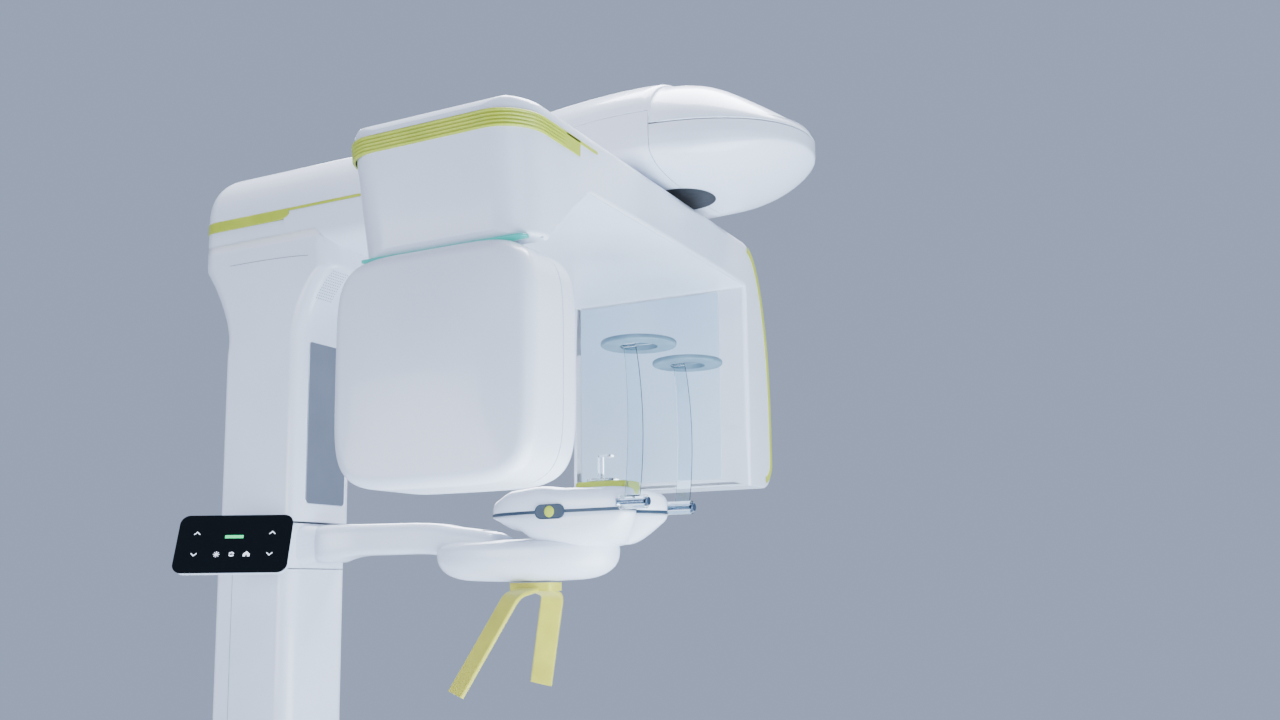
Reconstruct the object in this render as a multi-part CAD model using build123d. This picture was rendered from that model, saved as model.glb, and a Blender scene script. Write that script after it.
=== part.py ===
from build123d import *
import os
from math import sqrt, sin, cos, radians

# Panoramic X-ray machine, in millimetres.
# The origin is on the floor under the column's axis. +Z is up and the patient stands towards -Y.
# The rotating gantry's long axis lies along X at rest, with the generator box at -X and the detector at +X.
# At rest the lift is at the bottom of its travel.

# ---- driving sizes: stand and lift -------------------------------------------------------------
column_width = 187.0
column_depth = 206.0
column_corner = 36.0
cover_wall = 4.0
collar_bottom = 880.0
collar_height = 95.0
lift_stroke = 600.0
part_gap = 2.0
fit_gap = 0.3
base_width = 760.0
base_front = 640.0
base_rear = 220.0
base_thickness = 16.0
mast_wall = 5.0
anchor_hole_radius = 7.0

# ---- driving sizes: upper arm and head ---------------------------------------------------------
arm_clearance = 685.0
arm_height = 220.0
arm_rear = 196.0
axis_reach = 825.0
nose_length = 416.0
head_half_width = 200.0
trim_height = 24.0

# ---- driving sizes: gantry ---------------------------------------------------------------------
gantry_near_width = 346.0
gantry_far_width = 423.0
gantry_drop = 11.0
beam_depth = 98.0
near_reach = 593.0
far_reach = 410.0
far_inner = 271.0
box_thickness = 154.0
box_width = 370.0
box_bottom_rise = 100.0
far_bottom_rise = 156.0

# ---- driving sizes: chin support ---------------------------------------------------------------
chin_reach = 805.0
chin_rise = 146.0
support_half_width = 90.0
support_wall = 3.0
hinge_bore_radius = 4.05
hinge_pin_radius = 4.0
temple_ring_radius = 69.0
panel_width = 236.0
panel_height = 130.0

# ---- heights and places that follow ------------------------------------------------------------
collar_top = collar_bottom + collar_height
arm_bottom = collar_bottom + arm_clearance
arm_top = arm_bottom + arm_height
trim_top = arm_bottom + 101.0
trim_bottom = trim_top - trim_height
beam_top = arm_bottom - gantry_drop
beam_bottom = beam_top - beam_depth
box_bottom = collar_bottom + box_bottom_rise
far_bottom = collar_bottom + far_bottom_rise
axis_y = -axis_reach
chin_y = -chin_reach
nose_tip = axis_y - nose_length
front_plane = axis_y - gantry_near_width / 2
rear_near = axis_y + gantry_near_width / 2
rear_far = front_plane + gantry_far_width
column_front = -column_depth / 2
column_back = column_depth / 2
half_column = column_width / 2


def slab(x0, x1, y0, y1, z0, z1):
    """A box between two corners."""
    size = Box(x1 - x0, y1 - y0, z1 - z0)
    return Pos((x0 + x1) / 2, (y0 + y1) / 2, (z0 + z1) / 2) * size


def rod(x, y, z0, z1, radius):
    """An upright cylinder."""
    return Pos(x, y, (z0 + z1) / 2) * Cylinder(radius, z1 - z0)


def rod_y(x, z, y0, y1, radius):
    """A cylinder along Y."""
    return Pos(x, (y0 + y1) / 2, z) * Rot(90, 0, 0) * Cylinder(radius, abs(y1 - y0))


def rod_x(y, z, x0, x1, radius):
    """A cylinder along X."""
    return Pos((x0 + x1) / 2, y, z) * Rot(0, 90, 0) * Cylinder(radius, abs(x1 - x0))


def round_slab(x0, x1, y0, y1, z0, z1, corner, top=0.0, foot=0.0):
    """A box with rounded upright edges, and rounded top and foot rims where asked."""
    body = fillet(slab(x0, x1, y0, y1, z0, z1).edges().filter_by(Axis.Z), corner)
    if top:
        body = fillet(body.faces().sort_by(Axis.Z)[-1].edges(), top)
    if foot:
        body = fillet(body.faces().sort_by(Axis.Z)[0].edges(), foot)
    return body


def tube(x_half, y0, y1, z0, z1, wall):
    """An upright rectangular tube, centred on X."""
    bore = slab(-x_half + wall, x_half - wall, y0 + wall, y1 - wall, z0 - 1, z1 + 1)
    return slab(-x_half, x_half, y0, y1, z0, z1) - bore


# ================================================================================================
# Stand
# ================================================================================================
mast_half_x = 76.0
mast_half_y = 80.0
mast_top = collar_bottom - 12.0
flange_half = 112.0
flange_thickness = 12.0
flange_top = base_thickness + flange_thickness
flange_bolt = 98.0
bolt_radius = 5.9
bolt_hole_radius = 6.0
skirt_half_x = 128.0
skirt_half_y = 138.0
skirt_height = 50.0
skirt_wall = 3.0
anchor_x = base_width / 2 - 60.0
anchor_front = -base_front + 60.0
anchor_rear = base_rear - 50.0
cover_split = 58.0


def base_plate():
    """Floor plate that carries the column, with four anchor holes and four tapped mast holes."""
    plate = round_slab(-base_width / 2, base_width / 2, -base_front, base_rear, 0, base_thickness, 60)
    plate = chamfer(plate.faces().sort_by(Axis.Z)[-1].edges(), 3)
    for x in (-anchor_x, anchor_x):
        for y in (anchor_front, anchor_rear):
            plate -= rod(x, y, -1, base_thickness + 1, anchor_hole_radius)
    for x in (-flange_bolt, flange_bolt):
        for y in (-flange_bolt, flange_bolt):
            plate -= rod(x, y, -1, base_thickness + 1, bolt_hole_radius)
    return plate


def mast_bolts():
    """Four hexagon bolts that hold the mast flange to the floor plate."""
    bolts = []
    for x in (-flange_bolt, flange_bolt):
        for y in (-flange_bolt, flange_bolt):
            head = Pos(x, y, flange_top) * extrude(RegularPolygon(9.5, 6), 7.5)
            bolts.append(head + rod(x, y, 1, flange_top, bolt_radius))
    return Compound(children=bolts)


def outer_mast():
    """Fixed steel mast with its welded foot flange."""
    flange = slab(-flange_half, flange_half, -flange_half, flange_half, base_thickness, flange_top)
    bore_x = mast_half_x - mast_wall
    bore_y = mast_half_y - mast_wall
    mast = flange + slab(-mast_half_x, mast_half_x, -mast_half_y, mast_half_y, flange_top - 1, mast_top)
    mast -= slab(-bore_x, bore_x, -bore_y, bore_y, base_thickness - 1, mast_top + 1)
    for x in (-flange_bolt, flange_bolt):
        for y in (-flange_bolt, flange_bolt):
            mast -= rod(x, y, base_thickness - 1, flange_top + 1, bolt_hole_radius)
    return mast


def base_skirt():
    """Moulded skirt that hides the mast flange and its bolts."""
    top = base_thickness + skirt_height
    outer = round_slab(-skirt_half_x, skirt_half_x, -skirt_half_y, skirt_half_y, base_thickness, top, 45, 18)
    inner = round_slab(-skirt_half_x + skirt_wall, skirt_half_x - skirt_wall, -skirt_half_y + skirt_wall,
                       skirt_half_y - skirt_wall, base_thickness - 1, top - skirt_wall, 42, 15)
    hole = round_slab(-half_column - fit_gap, half_column + fit_gap, column_front - fit_gap,
                      column_back + fit_gap, top - 10, top + 5, column_corner)
    return outer - inner - hole


def column_tube(z0, z1, half_x, front, back, corner, wall):
    """Upright hollow cover with rounded corners."""
    outer = round_slab(-half_x, half_x, front, back, z0, z1, corner)
    inner = round_slab(-half_x + wall, half_x - wall, front + wall, back - wall, z0 - 1, z1 + 1, corner - wall)
    return outer - inner


def lower_column_cover():
    """Front cover of the fixed column, up to the seam near its rear edge."""
    cover = column_tube(flange_top, collar_bottom - part_gap, half_column, column_front, column_back,
                        column_corner, cover_wall)
    keep = slab(-half_column - 1, half_column + 1, column_front - 1, cover_split, 0, collar_bottom)
    return cover & keep


inlet_z = 150.0
inlet_half_x = 28.0
inlet_half_z = 40.0
switch_z = inlet_z + 20.0
switch_pivot_y = column_back - 5.0
switch_pin_radius = 1.5
switch_pin_reach = 12.5


def column_rear_panel():
    """Rear cover of the fixed column with the cut-out for the mains inlet."""
    cover = column_tube(flange_top, collar_bottom - part_gap, half_column, column_front, column_back,
                        column_corner, cover_wall)
    keep = slab(-half_column - 1, half_column + 1, cover_split + 1, column_back + 1, 0, collar_bottom)
    hole = slab(-inlet_half_x, inlet_half_x, column_back - 10, column_back + 5, inlet_z - inlet_half_z,
                inlet_z + inlet_half_z)
    return (cover & keep) - hole


inner_half_x = 62.0
inner_half_y = 66.0
cap_thickness = 5.0


def column_top_cap():
    """Plate that closes the fixed column round the moving mast."""
    inset = cover_wall + fit_gap
    top = collar_bottom - part_gap - 1
    plate = round_slab(-half_column + inset, half_column - inset, column_front + inset, column_back - inset,
                       top - cap_thickness, top, column_corner - inset)
    hole = slab(-inner_half_x - 1.5, inner_half_x + 1.5, -inner_half_y - 1.5, inner_half_y + 1.5, top - 10, top + 1)
    return plate - hole


pad_height = 80.0
pad_width = 50.0


def glide_pads(z0, inward):
    """Four plastic pads in the gap between the two masts, held by one mast and clear of the other."""
    gap_x = mast_half_x - mast_wall - inner_half_x
    gap_y = mast_half_y - mast_wall - inner_half_y
    start = fit_gap if inward else 0.0
    stop = 0.0 if inward else fit_gap
    pads = []
    for side in (-1, 1):
        x0 = side * (inner_half_x + start)
        x1 = side * (inner_half_x + gap_x - stop)
        y0 = side * (inner_half_y + start)
        y1 = side * (inner_half_y + gap_y - stop)
        pads.append(slab(min(x0, x1), max(x0, x1), -pad_width / 2, pad_width / 2, z0, z0 + pad_height))
        pads.append(slab(-pad_width / 2, pad_width / 2, min(y0, y1), max(y0, y1), z0, z0 + pad_height))
    return Compound(children=pads)


# Lift actuator: a motor beside a tube, a lead screw in the tube and a hollow rod with its nut.
actuator_y = -28.0
tube_radius = 26.0
tube_bore = 20.0
screw_radius = 8.0
nut_bore = 8.05
nut_length = 30.0
nut_bottom = 75.0
rod_radius = 14.0
rod_bore = 9.5
gearbox_top = 56.0
tube_top = nut_bottom + nut_length + lift_stroke + 25.0
bush_length = 18.0
frame_bottom = 62.0
anchor_plate_z = tube_top + 40.0
motor_y = 30.0
motor_radius = 23.0


def lift_motor():
    """Gearbox on the floor plate with the lift motor standing on it."""
    box = slab(-42, 42, -57, 57, base_thickness, gearbox_top)
    box = chamfer(box.edges().filter_by(Axis.Z), 4)
    box -= rod(0, actuator_y, gearbox_top - 14, gearbox_top + 1, screw_radius + 0.05)
    return box + rod(0, motor_y, gearbox_top - 1, gearbox_top + 150, motor_radius)


def actuator_tube():
    """Outer tube of the actuator, with the bush that guides the rod at its top."""
    body = rod(0, actuator_y, gearbox_top, tube_top, tube_radius)
    body -= rod(0, actuator_y, gearbox_top - 1, tube_top - bush_length, tube_bore)
    return body - rod(0, actuator_y, gearbox_top, tube_top + 1, rod_radius + 0.05)


def lead_screw():
    """Lead screw, shown as its pitch cylinder, standing in the gearbox."""
    return rod(0, actuator_y, gearbox_top - 13, tube_top - bush_length - 1, screw_radius)


def power_inlet():
    """Mains inlet module: one moulding with the socket below and the frame of the main switch above."""
    back = column_back - 22
    lip = column_back + 2.5
    body = slab(-inlet_half_x + fit_gap, inlet_half_x - fit_gap, back, column_back, inlet_z - inlet_half_z + fit_gap,
                inlet_z + inlet_half_z - fit_gap)
    body += slab(-inlet_half_x - 3, inlet_half_x + 3, column_back, lip, inlet_z - inlet_half_z - 3,
                 inlet_z + inlet_half_z + 3)
    body -= slab(-13, 13, column_back - 16, lip + 1, inlet_z - 30, inlet_z - 12)
    for x, z in ((-7, inlet_z - 23), (0, inlet_z - 19), (7, inlet_z - 23)):
        body += slab(x - 1, x + 1, column_back - 17, column_back - 4, z - 2.5, z + 2.5)
    body -= slab(-11, 11, column_back - 16, lip + 1, inlet_z + 6, inlet_z + 34)
    return body - rod_x(switch_pivot_y, switch_z, -switch_pin_reach, switch_pin_reach, switch_pin_radius + 0.05)


def main_switch():
    """Rocker of the main switch, with its two ends rising from the pivot like a shallow V."""
    end = 12.2
    outline = Polyline((switch_pivot_y - 3, switch_z - 4), (switch_pivot_y + 4, switch_z - end),
                       (switch_pivot_y + 9, switch_z - end), (switch_pivot_y + 5.5, switch_z),
                       (switch_pivot_y + 9, switch_z + end), (switch_pivot_y + 4, switch_z + end),
                       (switch_pivot_y - 3, switch_z + 4), close=True)
    rocker = Pos(-10, 0, 0) * extrude(Plane.YZ * make_face(outline), 20)
    return rocker + rod_x(switch_pivot_y, switch_z, -switch_pin_reach, switch_pin_reach, switch_pin_radius)


# ================================================================================================
# Lift carriage: frame, column cover and chin arm
# ================================================================================================
frame_beam_bottom = arm_bottom + 103.0
frame_beam_height = 60.0
frame_beam_half = 50.0
frame_beam_front = axis_y - 110.0
chin_tube_half = 22.0
chin_tube_bottom = collar_bottom + 38.0
chin_tube_top = collar_bottom + 68.0
chin_arm_half = 38.0
chin_arm_bottom = collar_bottom + 25.0
chin_arm_top = collar_bottom + 84.0
collar_front = column_front - 62.0
arm_socket = chin_y + 260.0


def carriage_frame():
    """Moving welded frame: inner mast, beam in the upper arm, chin arm tube and the actuator's plate."""
    mast = tube(inner_half_x, -inner_half_y, inner_half_y, frame_bottom, frame_beam_bottom + 1, mast_wall)
    inside_x = inner_half_x - mast_wall
    inside_y = inner_half_y - mast_wall
    plate = slab(-inside_x - 1, inside_x + 1, -inside_y - 1, inside_y + 1, anchor_plate_z, anchor_plate_z + 12)
    top = frame_beam_bottom + frame_beam_height
    beam = slab(-frame_beam_half, frame_beam_half, frame_beam_front, inner_half_y, frame_beam_bottom, top)
    beam -= slab(-frame_beam_half + mast_wall, frame_beam_half - mast_wall, frame_beam_front - 1,
                 inner_half_y - mast_wall, frame_beam_bottom + mast_wall, top - mast_wall)
    arm = slab(-chin_tube_half, chin_tube_half, arm_socket, -inner_half_y + 1, chin_tube_bottom, chin_tube_top)
    arm -= slab(-chin_tube_half + 3, chin_tube_half - 3, arm_socket - 1, -inner_half_y - 6, chin_tube_bottom + 3,
                chin_tube_top - 3)
    return mast + plate + beam + arm


def actuator_rod():
    """Hollow actuator rod with the lift nut at its foot and its top against the frame's plate."""
    nut = rod(0, actuator_y, nut_bottom, nut_bottom + nut_length, tube_bore - 0.4)
    body = nut + rod(0, actuator_y, nut_bottom + nut_length - 1, anchor_plate_z, rod_radius)
    body -= rod(0, actuator_y, nut_bottom + nut_length, anchor_plate_z - 10, rod_bore)
    return body - rod(0, actuator_y, nut_bottom - 1, nut_bottom + nut_length + 1, nut_bore)


stop_y = 20.0
stop_z = collar_bottom + 48.0
stop_stem = 9.0


def collar_solid(inset):
    """The collar's outer form less an inset all over: a band round the column and a neck to the arm."""
    band = round_slab(-half_column + inset, half_column - inset, column_front + inset, column_back - inset,
                      collar_bottom - (1 if inset else 0), collar_top + (1 if inset else 0), column_corner - inset)
    root = Plane.XZ.offset(-column_front - 20) * Pos(0, (collar_bottom + collar_top) / 2) * RectangleRounded(
        2 * (half_column - 12 - inset), collar_height - 2 * inset - 2, 22)
    tip = Plane.XZ.offset(-collar_front) * Pos(0, (chin_arm_bottom + chin_arm_top) / 2) * RectangleRounded(
        2 * (chin_arm_half - inset), chin_arm_top - chin_arm_bottom - 2 * inset, 20)
    return band + loft([root, tip])


def chin_arm_collar():
    """Moulded collar round the moving mast, with the neck that the chin arm comes out of."""
    inner = slab(-half_column + cover_wall, half_column - cover_wall, column_front + cover_wall,
                 column_back - cover_wall, collar_bottom - 1, collar_top + 1)
    inner = fillet(inner.edges().filter_by(Axis.Z), column_corner - cover_wall)
    tunnel = slab(-chin_tube_half - 2, chin_tube_half + 2, collar_front - 1, column_front + 10,
                  chin_tube_bottom - 2, chin_tube_top + 2)
    stop_hole = rod_x(stop_y, stop_z, 0, half_column + 1, stop_stem + fit_gap)
    return collar_solid(0) - inner - tunnel - stop_hole


def chin_arm_cover():
    """Rounded cover over the chin arm tube, from the collar to the support body."""
    span = collar_front - fit_gap - arm_socket
    section = Plane.XZ.offset(-collar_front + fit_gap) * Pos(0, (chin_arm_bottom + chin_arm_top) / 2)
    outer = extrude(section * RectangleRounded(2 * chin_arm_half, chin_arm_top - chin_arm_bottom, 24), span)
    inner = slab(-chin_tube_half - fit_gap, chin_tube_half + fit_gap, arm_socket - 1, collar_front + 1,
                 chin_tube_bottom - fit_gap, chin_tube_top + fit_gap)
    return outer - inner - lower_body_form()


upper_half = half_column - 3.0
upper_front = column_front - 7.0
upper_back = column_back - 2.0
shoulder_radius = 215.0
shoulder_rise = 175.0
cover_top = arm_bottom - 9.0
mirror_half = 61.0
mirror_bottom = collar_top + 42.0
mirror_top = collar_top + 398.0
mirror_depth = 4.0


def column_profile(inset):
    """Side outline of the upper column cover: straight below, curving out to the arm at the top."""
    front = upper_front + inset
    back = upper_back - inset
    foot = collar_top + part_gap - (1 if inset else 0)
    centre_y = upper_front - shoulder_radius
    centre_z = arm_bottom - shoulder_radius
    radius = shoulder_radius + inset
    reach = sqrt(radius * radius - shoulder_rise * shoulder_rise)
    middle = radians(27)
    curve = ThreePointArc((front, centre_z), (centre_y + radius * cos(middle), centre_z + radius * sin(middle)),
                          (centre_y + reach, centre_z + shoulder_rise))
    rear_top = arm_rear - inset
    sides = [
        Line((back, foot), (front, foot)),
        Line((front, foot), (front, centre_z)),
        curve,
        Line((centre_y + reach, centre_z + shoulder_rise), (centre_y + reach, cover_top)),
        Line((centre_y + reach, cover_top), (rear_top, cover_top)),
        Line((rear_top, cover_top), (back, cover_top - 150)),
        Line((back, cover_top - 150), (back, foot)),
    ]
    return Plane.YZ * make_face(sides)


def carriage_cover():
    """Upper column cover, hollow, with the mirror's pocket and the loudspeaker's holes."""
    outer = Pos(-upper_half, 0, 0) * extrude(column_profile(0), 2 * upper_half)
    outer = fillet(outer.edges().filter_by(Axis.Z), column_corner - 6)
    inner = Pos(-upper_half + cover_wall, 0, 0) * extrude(column_profile(cover_wall), 2 * (upper_half - cover_wall))
    inner = fillet(inner.edges().filter_by(Axis.Z), column_corner - 6 - cover_wall)
    body = outer - inner
    top_opening = slab(-upper_half + cover_wall, upper_half - cover_wall, -170, arm_rear - 12, cover_top - 6,
                       cover_top + 1)
    body -= top_opening
    pocket = slab(-mirror_half - fit_gap, mirror_half + fit_gap, upper_front - 1, upper_front + 3,
                  mirror_bottom - fit_gap, mirror_top + fit_gap)
    return body - pocket


def mirror():
    """Dressing mirror set into the front of the column cover."""
    plate = slab(-mirror_half, mirror_half, upper_front + 3 - mirror_depth, upper_front + 3, mirror_bottom, mirror_top)
    return fillet(plate.edges().filter_by(Axis.Y), 10)


# ================================================================================================
# Upper arm and head
# ================================================================================================
arm_half = half_column + 4.0
arm_corner = 50.0
flare_start = axis_y + 400.0
flare_end = axis_y - 130.0
skin = 4.0
crown_y = axis_y + 265.0
head_fall_y = axis_y - 92.0
head_fall = 34.0
nose_seam = axis_y - 180.0
groove_z = arm_bottom + 75.0
slot_radius = 64.0
slot_front = axis_y - 155.0
hub_radius = 50.0


def head_outline(inset):
    """Plan of the arm and head: parallel sides, a smooth flare and a rounded nose."""
    side = arm_half - inset
    wide = head_half_width - inset
    tip = nose_tip + inset
    rear = arm_rear - inset
    corner = arm_corner - inset
    edges = []
    for s in (-1, 1):
        edges.append(Line((s * (side - corner), rear), (0, rear)))
        edges.append(RadiusArc((s * (side - corner), rear), (s * side, rear - corner), s * corner))
        edges.append(Line((s * side, rear - corner), (s * side, flare_start)))
        edges.append(Spline((s * side, flare_start), (s * wide, flare_end), tangents=((0, -1), (0, -1)),
                            tangent_scalars=(1.3, 1.3)))
        edges.append(Spline((s * wide, flare_end), (0, tip), tangents=((0, -1), (-s, 0)),
                            tangent_scalars=(1.15, 1.15)))
    return make_face(edges)


def head_side(inset):
    """Side profile of the arm and head, extruded across: flat top that falls away to the nose."""
    top = arm_top - inset
    foot = arm_bottom + inset
    tip = nose_tip - 20
    rear = arm_rear + 20
    edges = [
        Line((rear, foot), (tip + 150, foot)),
        Spline((tip + 150, foot), (tip + 22, groove_z - 20), tangents=((-1, 0), (0, 1))),
        Spline((tip + 22, groove_z - 20), (head_fall_y, top - head_fall), (crown_y, top),
               tangents=((0, 1), (1, 0))),
        Line((crown_y, top), (rear, top)),
        Line((rear, top), (rear, foot)),
    ]
    face = Plane.YZ * make_face(edges)
    return Pos(-head_half_width - 30, 0, 0) * extrude(face, 2 * head_half_width + 60)


def head_form(inset):
    """Solid form of the arm and head less an inset all over."""
    plan = Pos(0, 0, arm_bottom - 5) * extrude(head_outline(inset), arm_height + 10)
    return plan & head_side(inset)


def arm_shell():
    """Hollow form that the three arm covers are cut from."""
    return head_form(0) - head_form(skin)


def rotor_opening():
    """Round-ended slot in the head's underside in which the rotor hub shifts."""
    rear = axis_y + 20
    slot = slab(-slot_radius, slot_radius, slot_front, rear, arm_bottom - 10, arm_bottom + 10)
    return slot + rod(0, slot_front, arm_bottom - 10, arm_bottom + 10, slot_radius) + rod(
        0, rear, arm_bottom - 10, arm_bottom + 10, slot_radius)


def arm_lower_shell(shell):
    """Underside and sides of the arm and of the head's rear, up to the lime trim."""
    keep = slab(-400, 400, nose_seam, 400, arm_bottom - 20, trim_bottom)
    mouth = slab(-upper_half + cover_wall, upper_half - cover_wall, -170, arm_rear - 12, arm_bottom - 10,
                 arm_bottom + 20)
    return (shell & keep) - mouth - rotor_opening()


def arm_trim(shell):
    """Lime trim: a thick band round the rear of the arm and a thin line on to the head."""
    line_height = 6.0
    thick_end = -60.0
    band = shell & slab(-400, 400, thick_end, 400, trim_bottom, trim_top)
    line = shell & slab(-400, 400, nose_seam, thick_end, trim_top - line_height, trim_top)
    return band + line


def arm_side_strip(shell):
    """The part of the lower shell beside the thin trim line."""
    return shell & slab(-400, 400, nose_seam, -60.0, trim_bottom - 0.01, trim_top - 6.0)


def nose_lower_cover(shell):
    """Front underside of the head, ahead of the side seam and below the parting groove."""
    return (shell & slab(-400, 400, nose_tip - 40, nose_seam - 1, arm_bottom - 20, groove_z)) - rotor_opening()


def arm_top_cover(shell):
    """Long top cover of the arm and head."""
    rear_part = shell & slab(-400, 400, nose_seam, 400, trim_top + 0.2, arm_top + 20)
    nose_part = shell & slab(-400, 400, nose_tip - 40, nose_seam, groove_z + 2, arm_top + 20)
    return rear_part + nose_part


def slot_cover():
    """Black plate above the slot in the head's underside, open round the hub's travel."""
    top = arm_bottom + skin + 3.0
    rear = axis_y + 20
    grow = 12.0
    plate = slab(-slot_radius - grow, slot_radius + grow, slot_front, rear, arm_bottom + skin, top)
    plate += rod(0, slot_front, arm_bottom + skin, top, slot_radius + grow)
    plate += rod(0, rear, arm_bottom + skin, top, slot_radius + grow)
    front = axis_y - shift_travel
    clear = hub_radius + 3.0
    opening = slab(-clear, clear, front, axis_y, arm_bottom, top + 1)
    opening += rod(0, front, arm_bottom, top + 1, clear)
    opening += rod(0, axis_y, arm_bottom, top + 1, clear)
    return plate - opening


# ================================================================================================
# Rotation stage, in the head
# ================================================================================================
shift_travel = 90.0
rail_x = 70.0
rail_width = 15.0
rail_height = 12.0
rail_bottom = frame_beam_bottom - rail_height
stage_top = rail_bottom - fit_gap
stage_thickness = 14.0
stage_bottom = stage_top - stage_thickness
stage_half_x = 95.0
stage_half_y = 90.0
bearing_radius = 62.0
bearing_bottom = stage_bottom - 26.0
pulley_radius = 74.0
pulley_bottom = arm_bottom + skin + 6.0
pulley_height = 14.0
motor_pulley_radius = 16.0
belt_thickness = 3.0
belt_distance = 190.0
hub_top = stage_top - 2.0
motor_bottom = pulley_bottom + pulley_height + 3.0
shaft_radius = 4.0


def stage_rails():
    """Two guide rails under the arm's beam, on cross plates."""
    parts = []
    length_front = axis_y - stage_half_y - shift_travel - 10
    length_rear = axis_y + belt_distance + 60
    for s in (-1, 1):
        x0 = s * rail_x - rail_width / 2
        parts.append(slab(x0, x0 + rail_width, length_front, length_rear, rail_bottom, frame_beam_bottom))
    ties = []
    for y in (frame_beam_front + 20, axis_y + 200):
        ties.append(slab(-rail_x, rail_x, y - 12, y + 12, rail_bottom + 4, frame_beam_bottom))
    return parts[0] + parts[1] + ties[0] + ties[1]


def stage_plate():
    """Sliding plate with four guide shoes, the bearing seat and the motor's shelf."""
    plate = slab(-stage_half_x, stage_half_x, axis_y - stage_half_y, axis_y + stage_half_y, stage_bottom, stage_top)
    shelf = slab(-35, 35, axis_y + stage_half_y - 1, axis_y + belt_distance + 35, stage_bottom, stage_bottom + 8)
    seat = rod(0, axis_y, bearing_bottom, stage_bottom + 1, bearing_radius)
    body = plate + shelf + seat
    for s in (-1, 1):
        lip = s * (rail_x + rail_width / 2 + fit_gap + 5)
        inner = s * (rail_x + rail_width / 2 + fit_gap)
        body += slab(min(lip, inner), max(lip, inner), axis_y - stage_half_y, axis_y + stage_half_y,
                     stage_top - 1, stage_top + 9)
    return body - rod(0, axis_y, bearing_bottom - 1, stage_top + 1, hub_radius - 12 + 0.05)


def rotation_motor():
    """Motor that turns the gantry, hanging under the stage's shelf with its shaft down into the pulley."""
    body = rod(0, axis_y + belt_distance, motor_bottom, stage_bottom, 26)
    return body + rod(0, axis_y + belt_distance, pulley_bottom + 1, motor_bottom + 1, shaft_radius)


def motor_pulley():
    """Small toothed-belt pulley with two flanges."""
    body = rod(0, axis_y + belt_distance, pulley_bottom, pulley_bottom + pulley_height, motor_pulley_radius)
    for z in (pulley_bottom, pulley_bottom + pulley_height - 1):
        body += rod(0, axis_y + belt_distance, z, z + 1, motor_pulley_radius + 4)
    return body - rod(0, axis_y + belt_distance, pulley_bottom - 1, pulley_bottom + pulley_height + 1,
                      shaft_radius + 0.05)


def belt_outline(grow):
    """Plan of the belt loop: two circles joined by their outer tangents."""
    big = pulley_radius + grow
    small = motor_pulley_radius + grow
    lean = (big - small) / belt_distance
    across = sqrt(1 - lean * lean)
    far = axis_y + belt_distance
    points = [(big * across, axis_y + big * lean), (small * across, far + small * lean),
              (-small * across, far + small * lean), (-big * across, axis_y + big * lean)]
    quad = make_face(Polyline(*points, close=True))
    return quad + Pos(0, axis_y) * Circle(big) + Pos(0, far) * Circle(small)


def drive_belt():
    """Toothed belt round the hub's pulley and the motor's pulley, shown without teeth."""
    z0 = pulley_bottom + 1 + fit_gap
    height = pulley_height - 2 - 2 * fit_gap
    outer = extrude(Pos(0, 0, z0) * belt_outline(fit_gap + belt_thickness), height)
    return outer - extrude(Pos(0, 0, z0 - 1) * belt_outline(fit_gap), height + 2)


# ================================================================================================
# Gantry
# ================================================================================================
frame_half_y = 60.0
gantry_wall = 4.0
frame_top = beam_top - gantry_wall - 3.0
frame_height = 45.0
near_corner = 62.0
far_corner = 34.0
near_block_bottom = box_bottom + 366.0
box_top = near_block_bottom - 6.0
beam_near = -393.0
box_inner = -(near_reach - box_thickness)
lining_wall = 3.0
hanger_x = far_inner + 39.0
far_round = 26.0


def rotor_hub():
    """Hollow hub that carries the gantry, with its belt pulley and its flange."""
    body = rod(0, axis_y, frame_top, bearing_bottom - fit_gap, hub_radius)
    body += rod(0, axis_y, bearing_bottom - fit_gap - 1, hub_top, hub_radius - 12)
    body += rod(0, axis_y, pulley_bottom, pulley_bottom + pulley_height, pulley_radius)
    for z in (pulley_bottom, pulley_bottom + pulley_height - 1):
        body += rod(0, axis_y, z, z + 1, pulley_radius + 4)
    return body - rod(0, axis_y, frame_top - 1, hub_top + 1, hub_radius - 22)


def gantry_frame():
    """Welded frame in the gantry: cross beam, generator hanger and detector hanger."""
    foot = frame_top - frame_height
    near = -near_reach + 45
    far = far_inner - 9
    body = slab(near, far, axis_y - frame_half_y, axis_y + frame_half_y, foot, frame_top)
    body -= slab(near + mast_wall, far - mast_wall, axis_y - frame_half_y + mast_wall,
                 axis_y + frame_half_y - mast_wall, foot + mast_wall, frame_top - mast_wall)
    body += slab(near, near + 10, axis_y - frame_half_y, axis_y + frame_half_y, box_bottom + 60, foot + 1)
    body += slab(far - 1, hanger_x + 8, axis_y - frame_half_y, axis_y + frame_half_y, foot, foot + 10)
    body += slab(hanger_x, hanger_x + 8, axis_y - frame_half_y, axis_y + frame_half_y, far_bottom + 40, foot + 1)
    return body - rod(0, axis_y, foot - 1, frame_top + 1, hub_radius - 22)


def gantry_profile(inset):
    """Front outline of the gantry's outer shell: near block, cross beam and far limb."""
    left = -near_reach + inset
    top = beam_top - inset
    right = far_reach - inset
    shoulder = far_inner + 2 - inset
    foot = far_bottom + inset
    round_top = 30.0 - inset
    lower = near_block_bottom + inset
    inner = far_inner + inset
    under = beam_bottom + inset
    edges = [
        Line((left, lower), (left, top - round_top)),
        RadiusArc((left, top - round_top), (left + round_top, top), round_top),
        Line((left + round_top, top), (shoulder, top)),
        Spline((shoulder, top), (right, foot + 130), tangents=((1, 0), (0, -1)), tangent_scalars=(0.75, 1.3)),
        Line((right, foot + 130), (right, foot + far_round)),
        RadiusArc((right, foot + far_round), (right - far_round, foot), far_round),
        Line((right - far_round, foot), (inner, foot)),
        Line((inner, foot), (inner, under)),
        Line((inner, under), (beam_near, under)),
        Line((beam_near, under), (box_inner - 88, lower)),
        Line((box_inner - 88, lower), (left, lower)),
    ]
    return make_face(edges)


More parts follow.
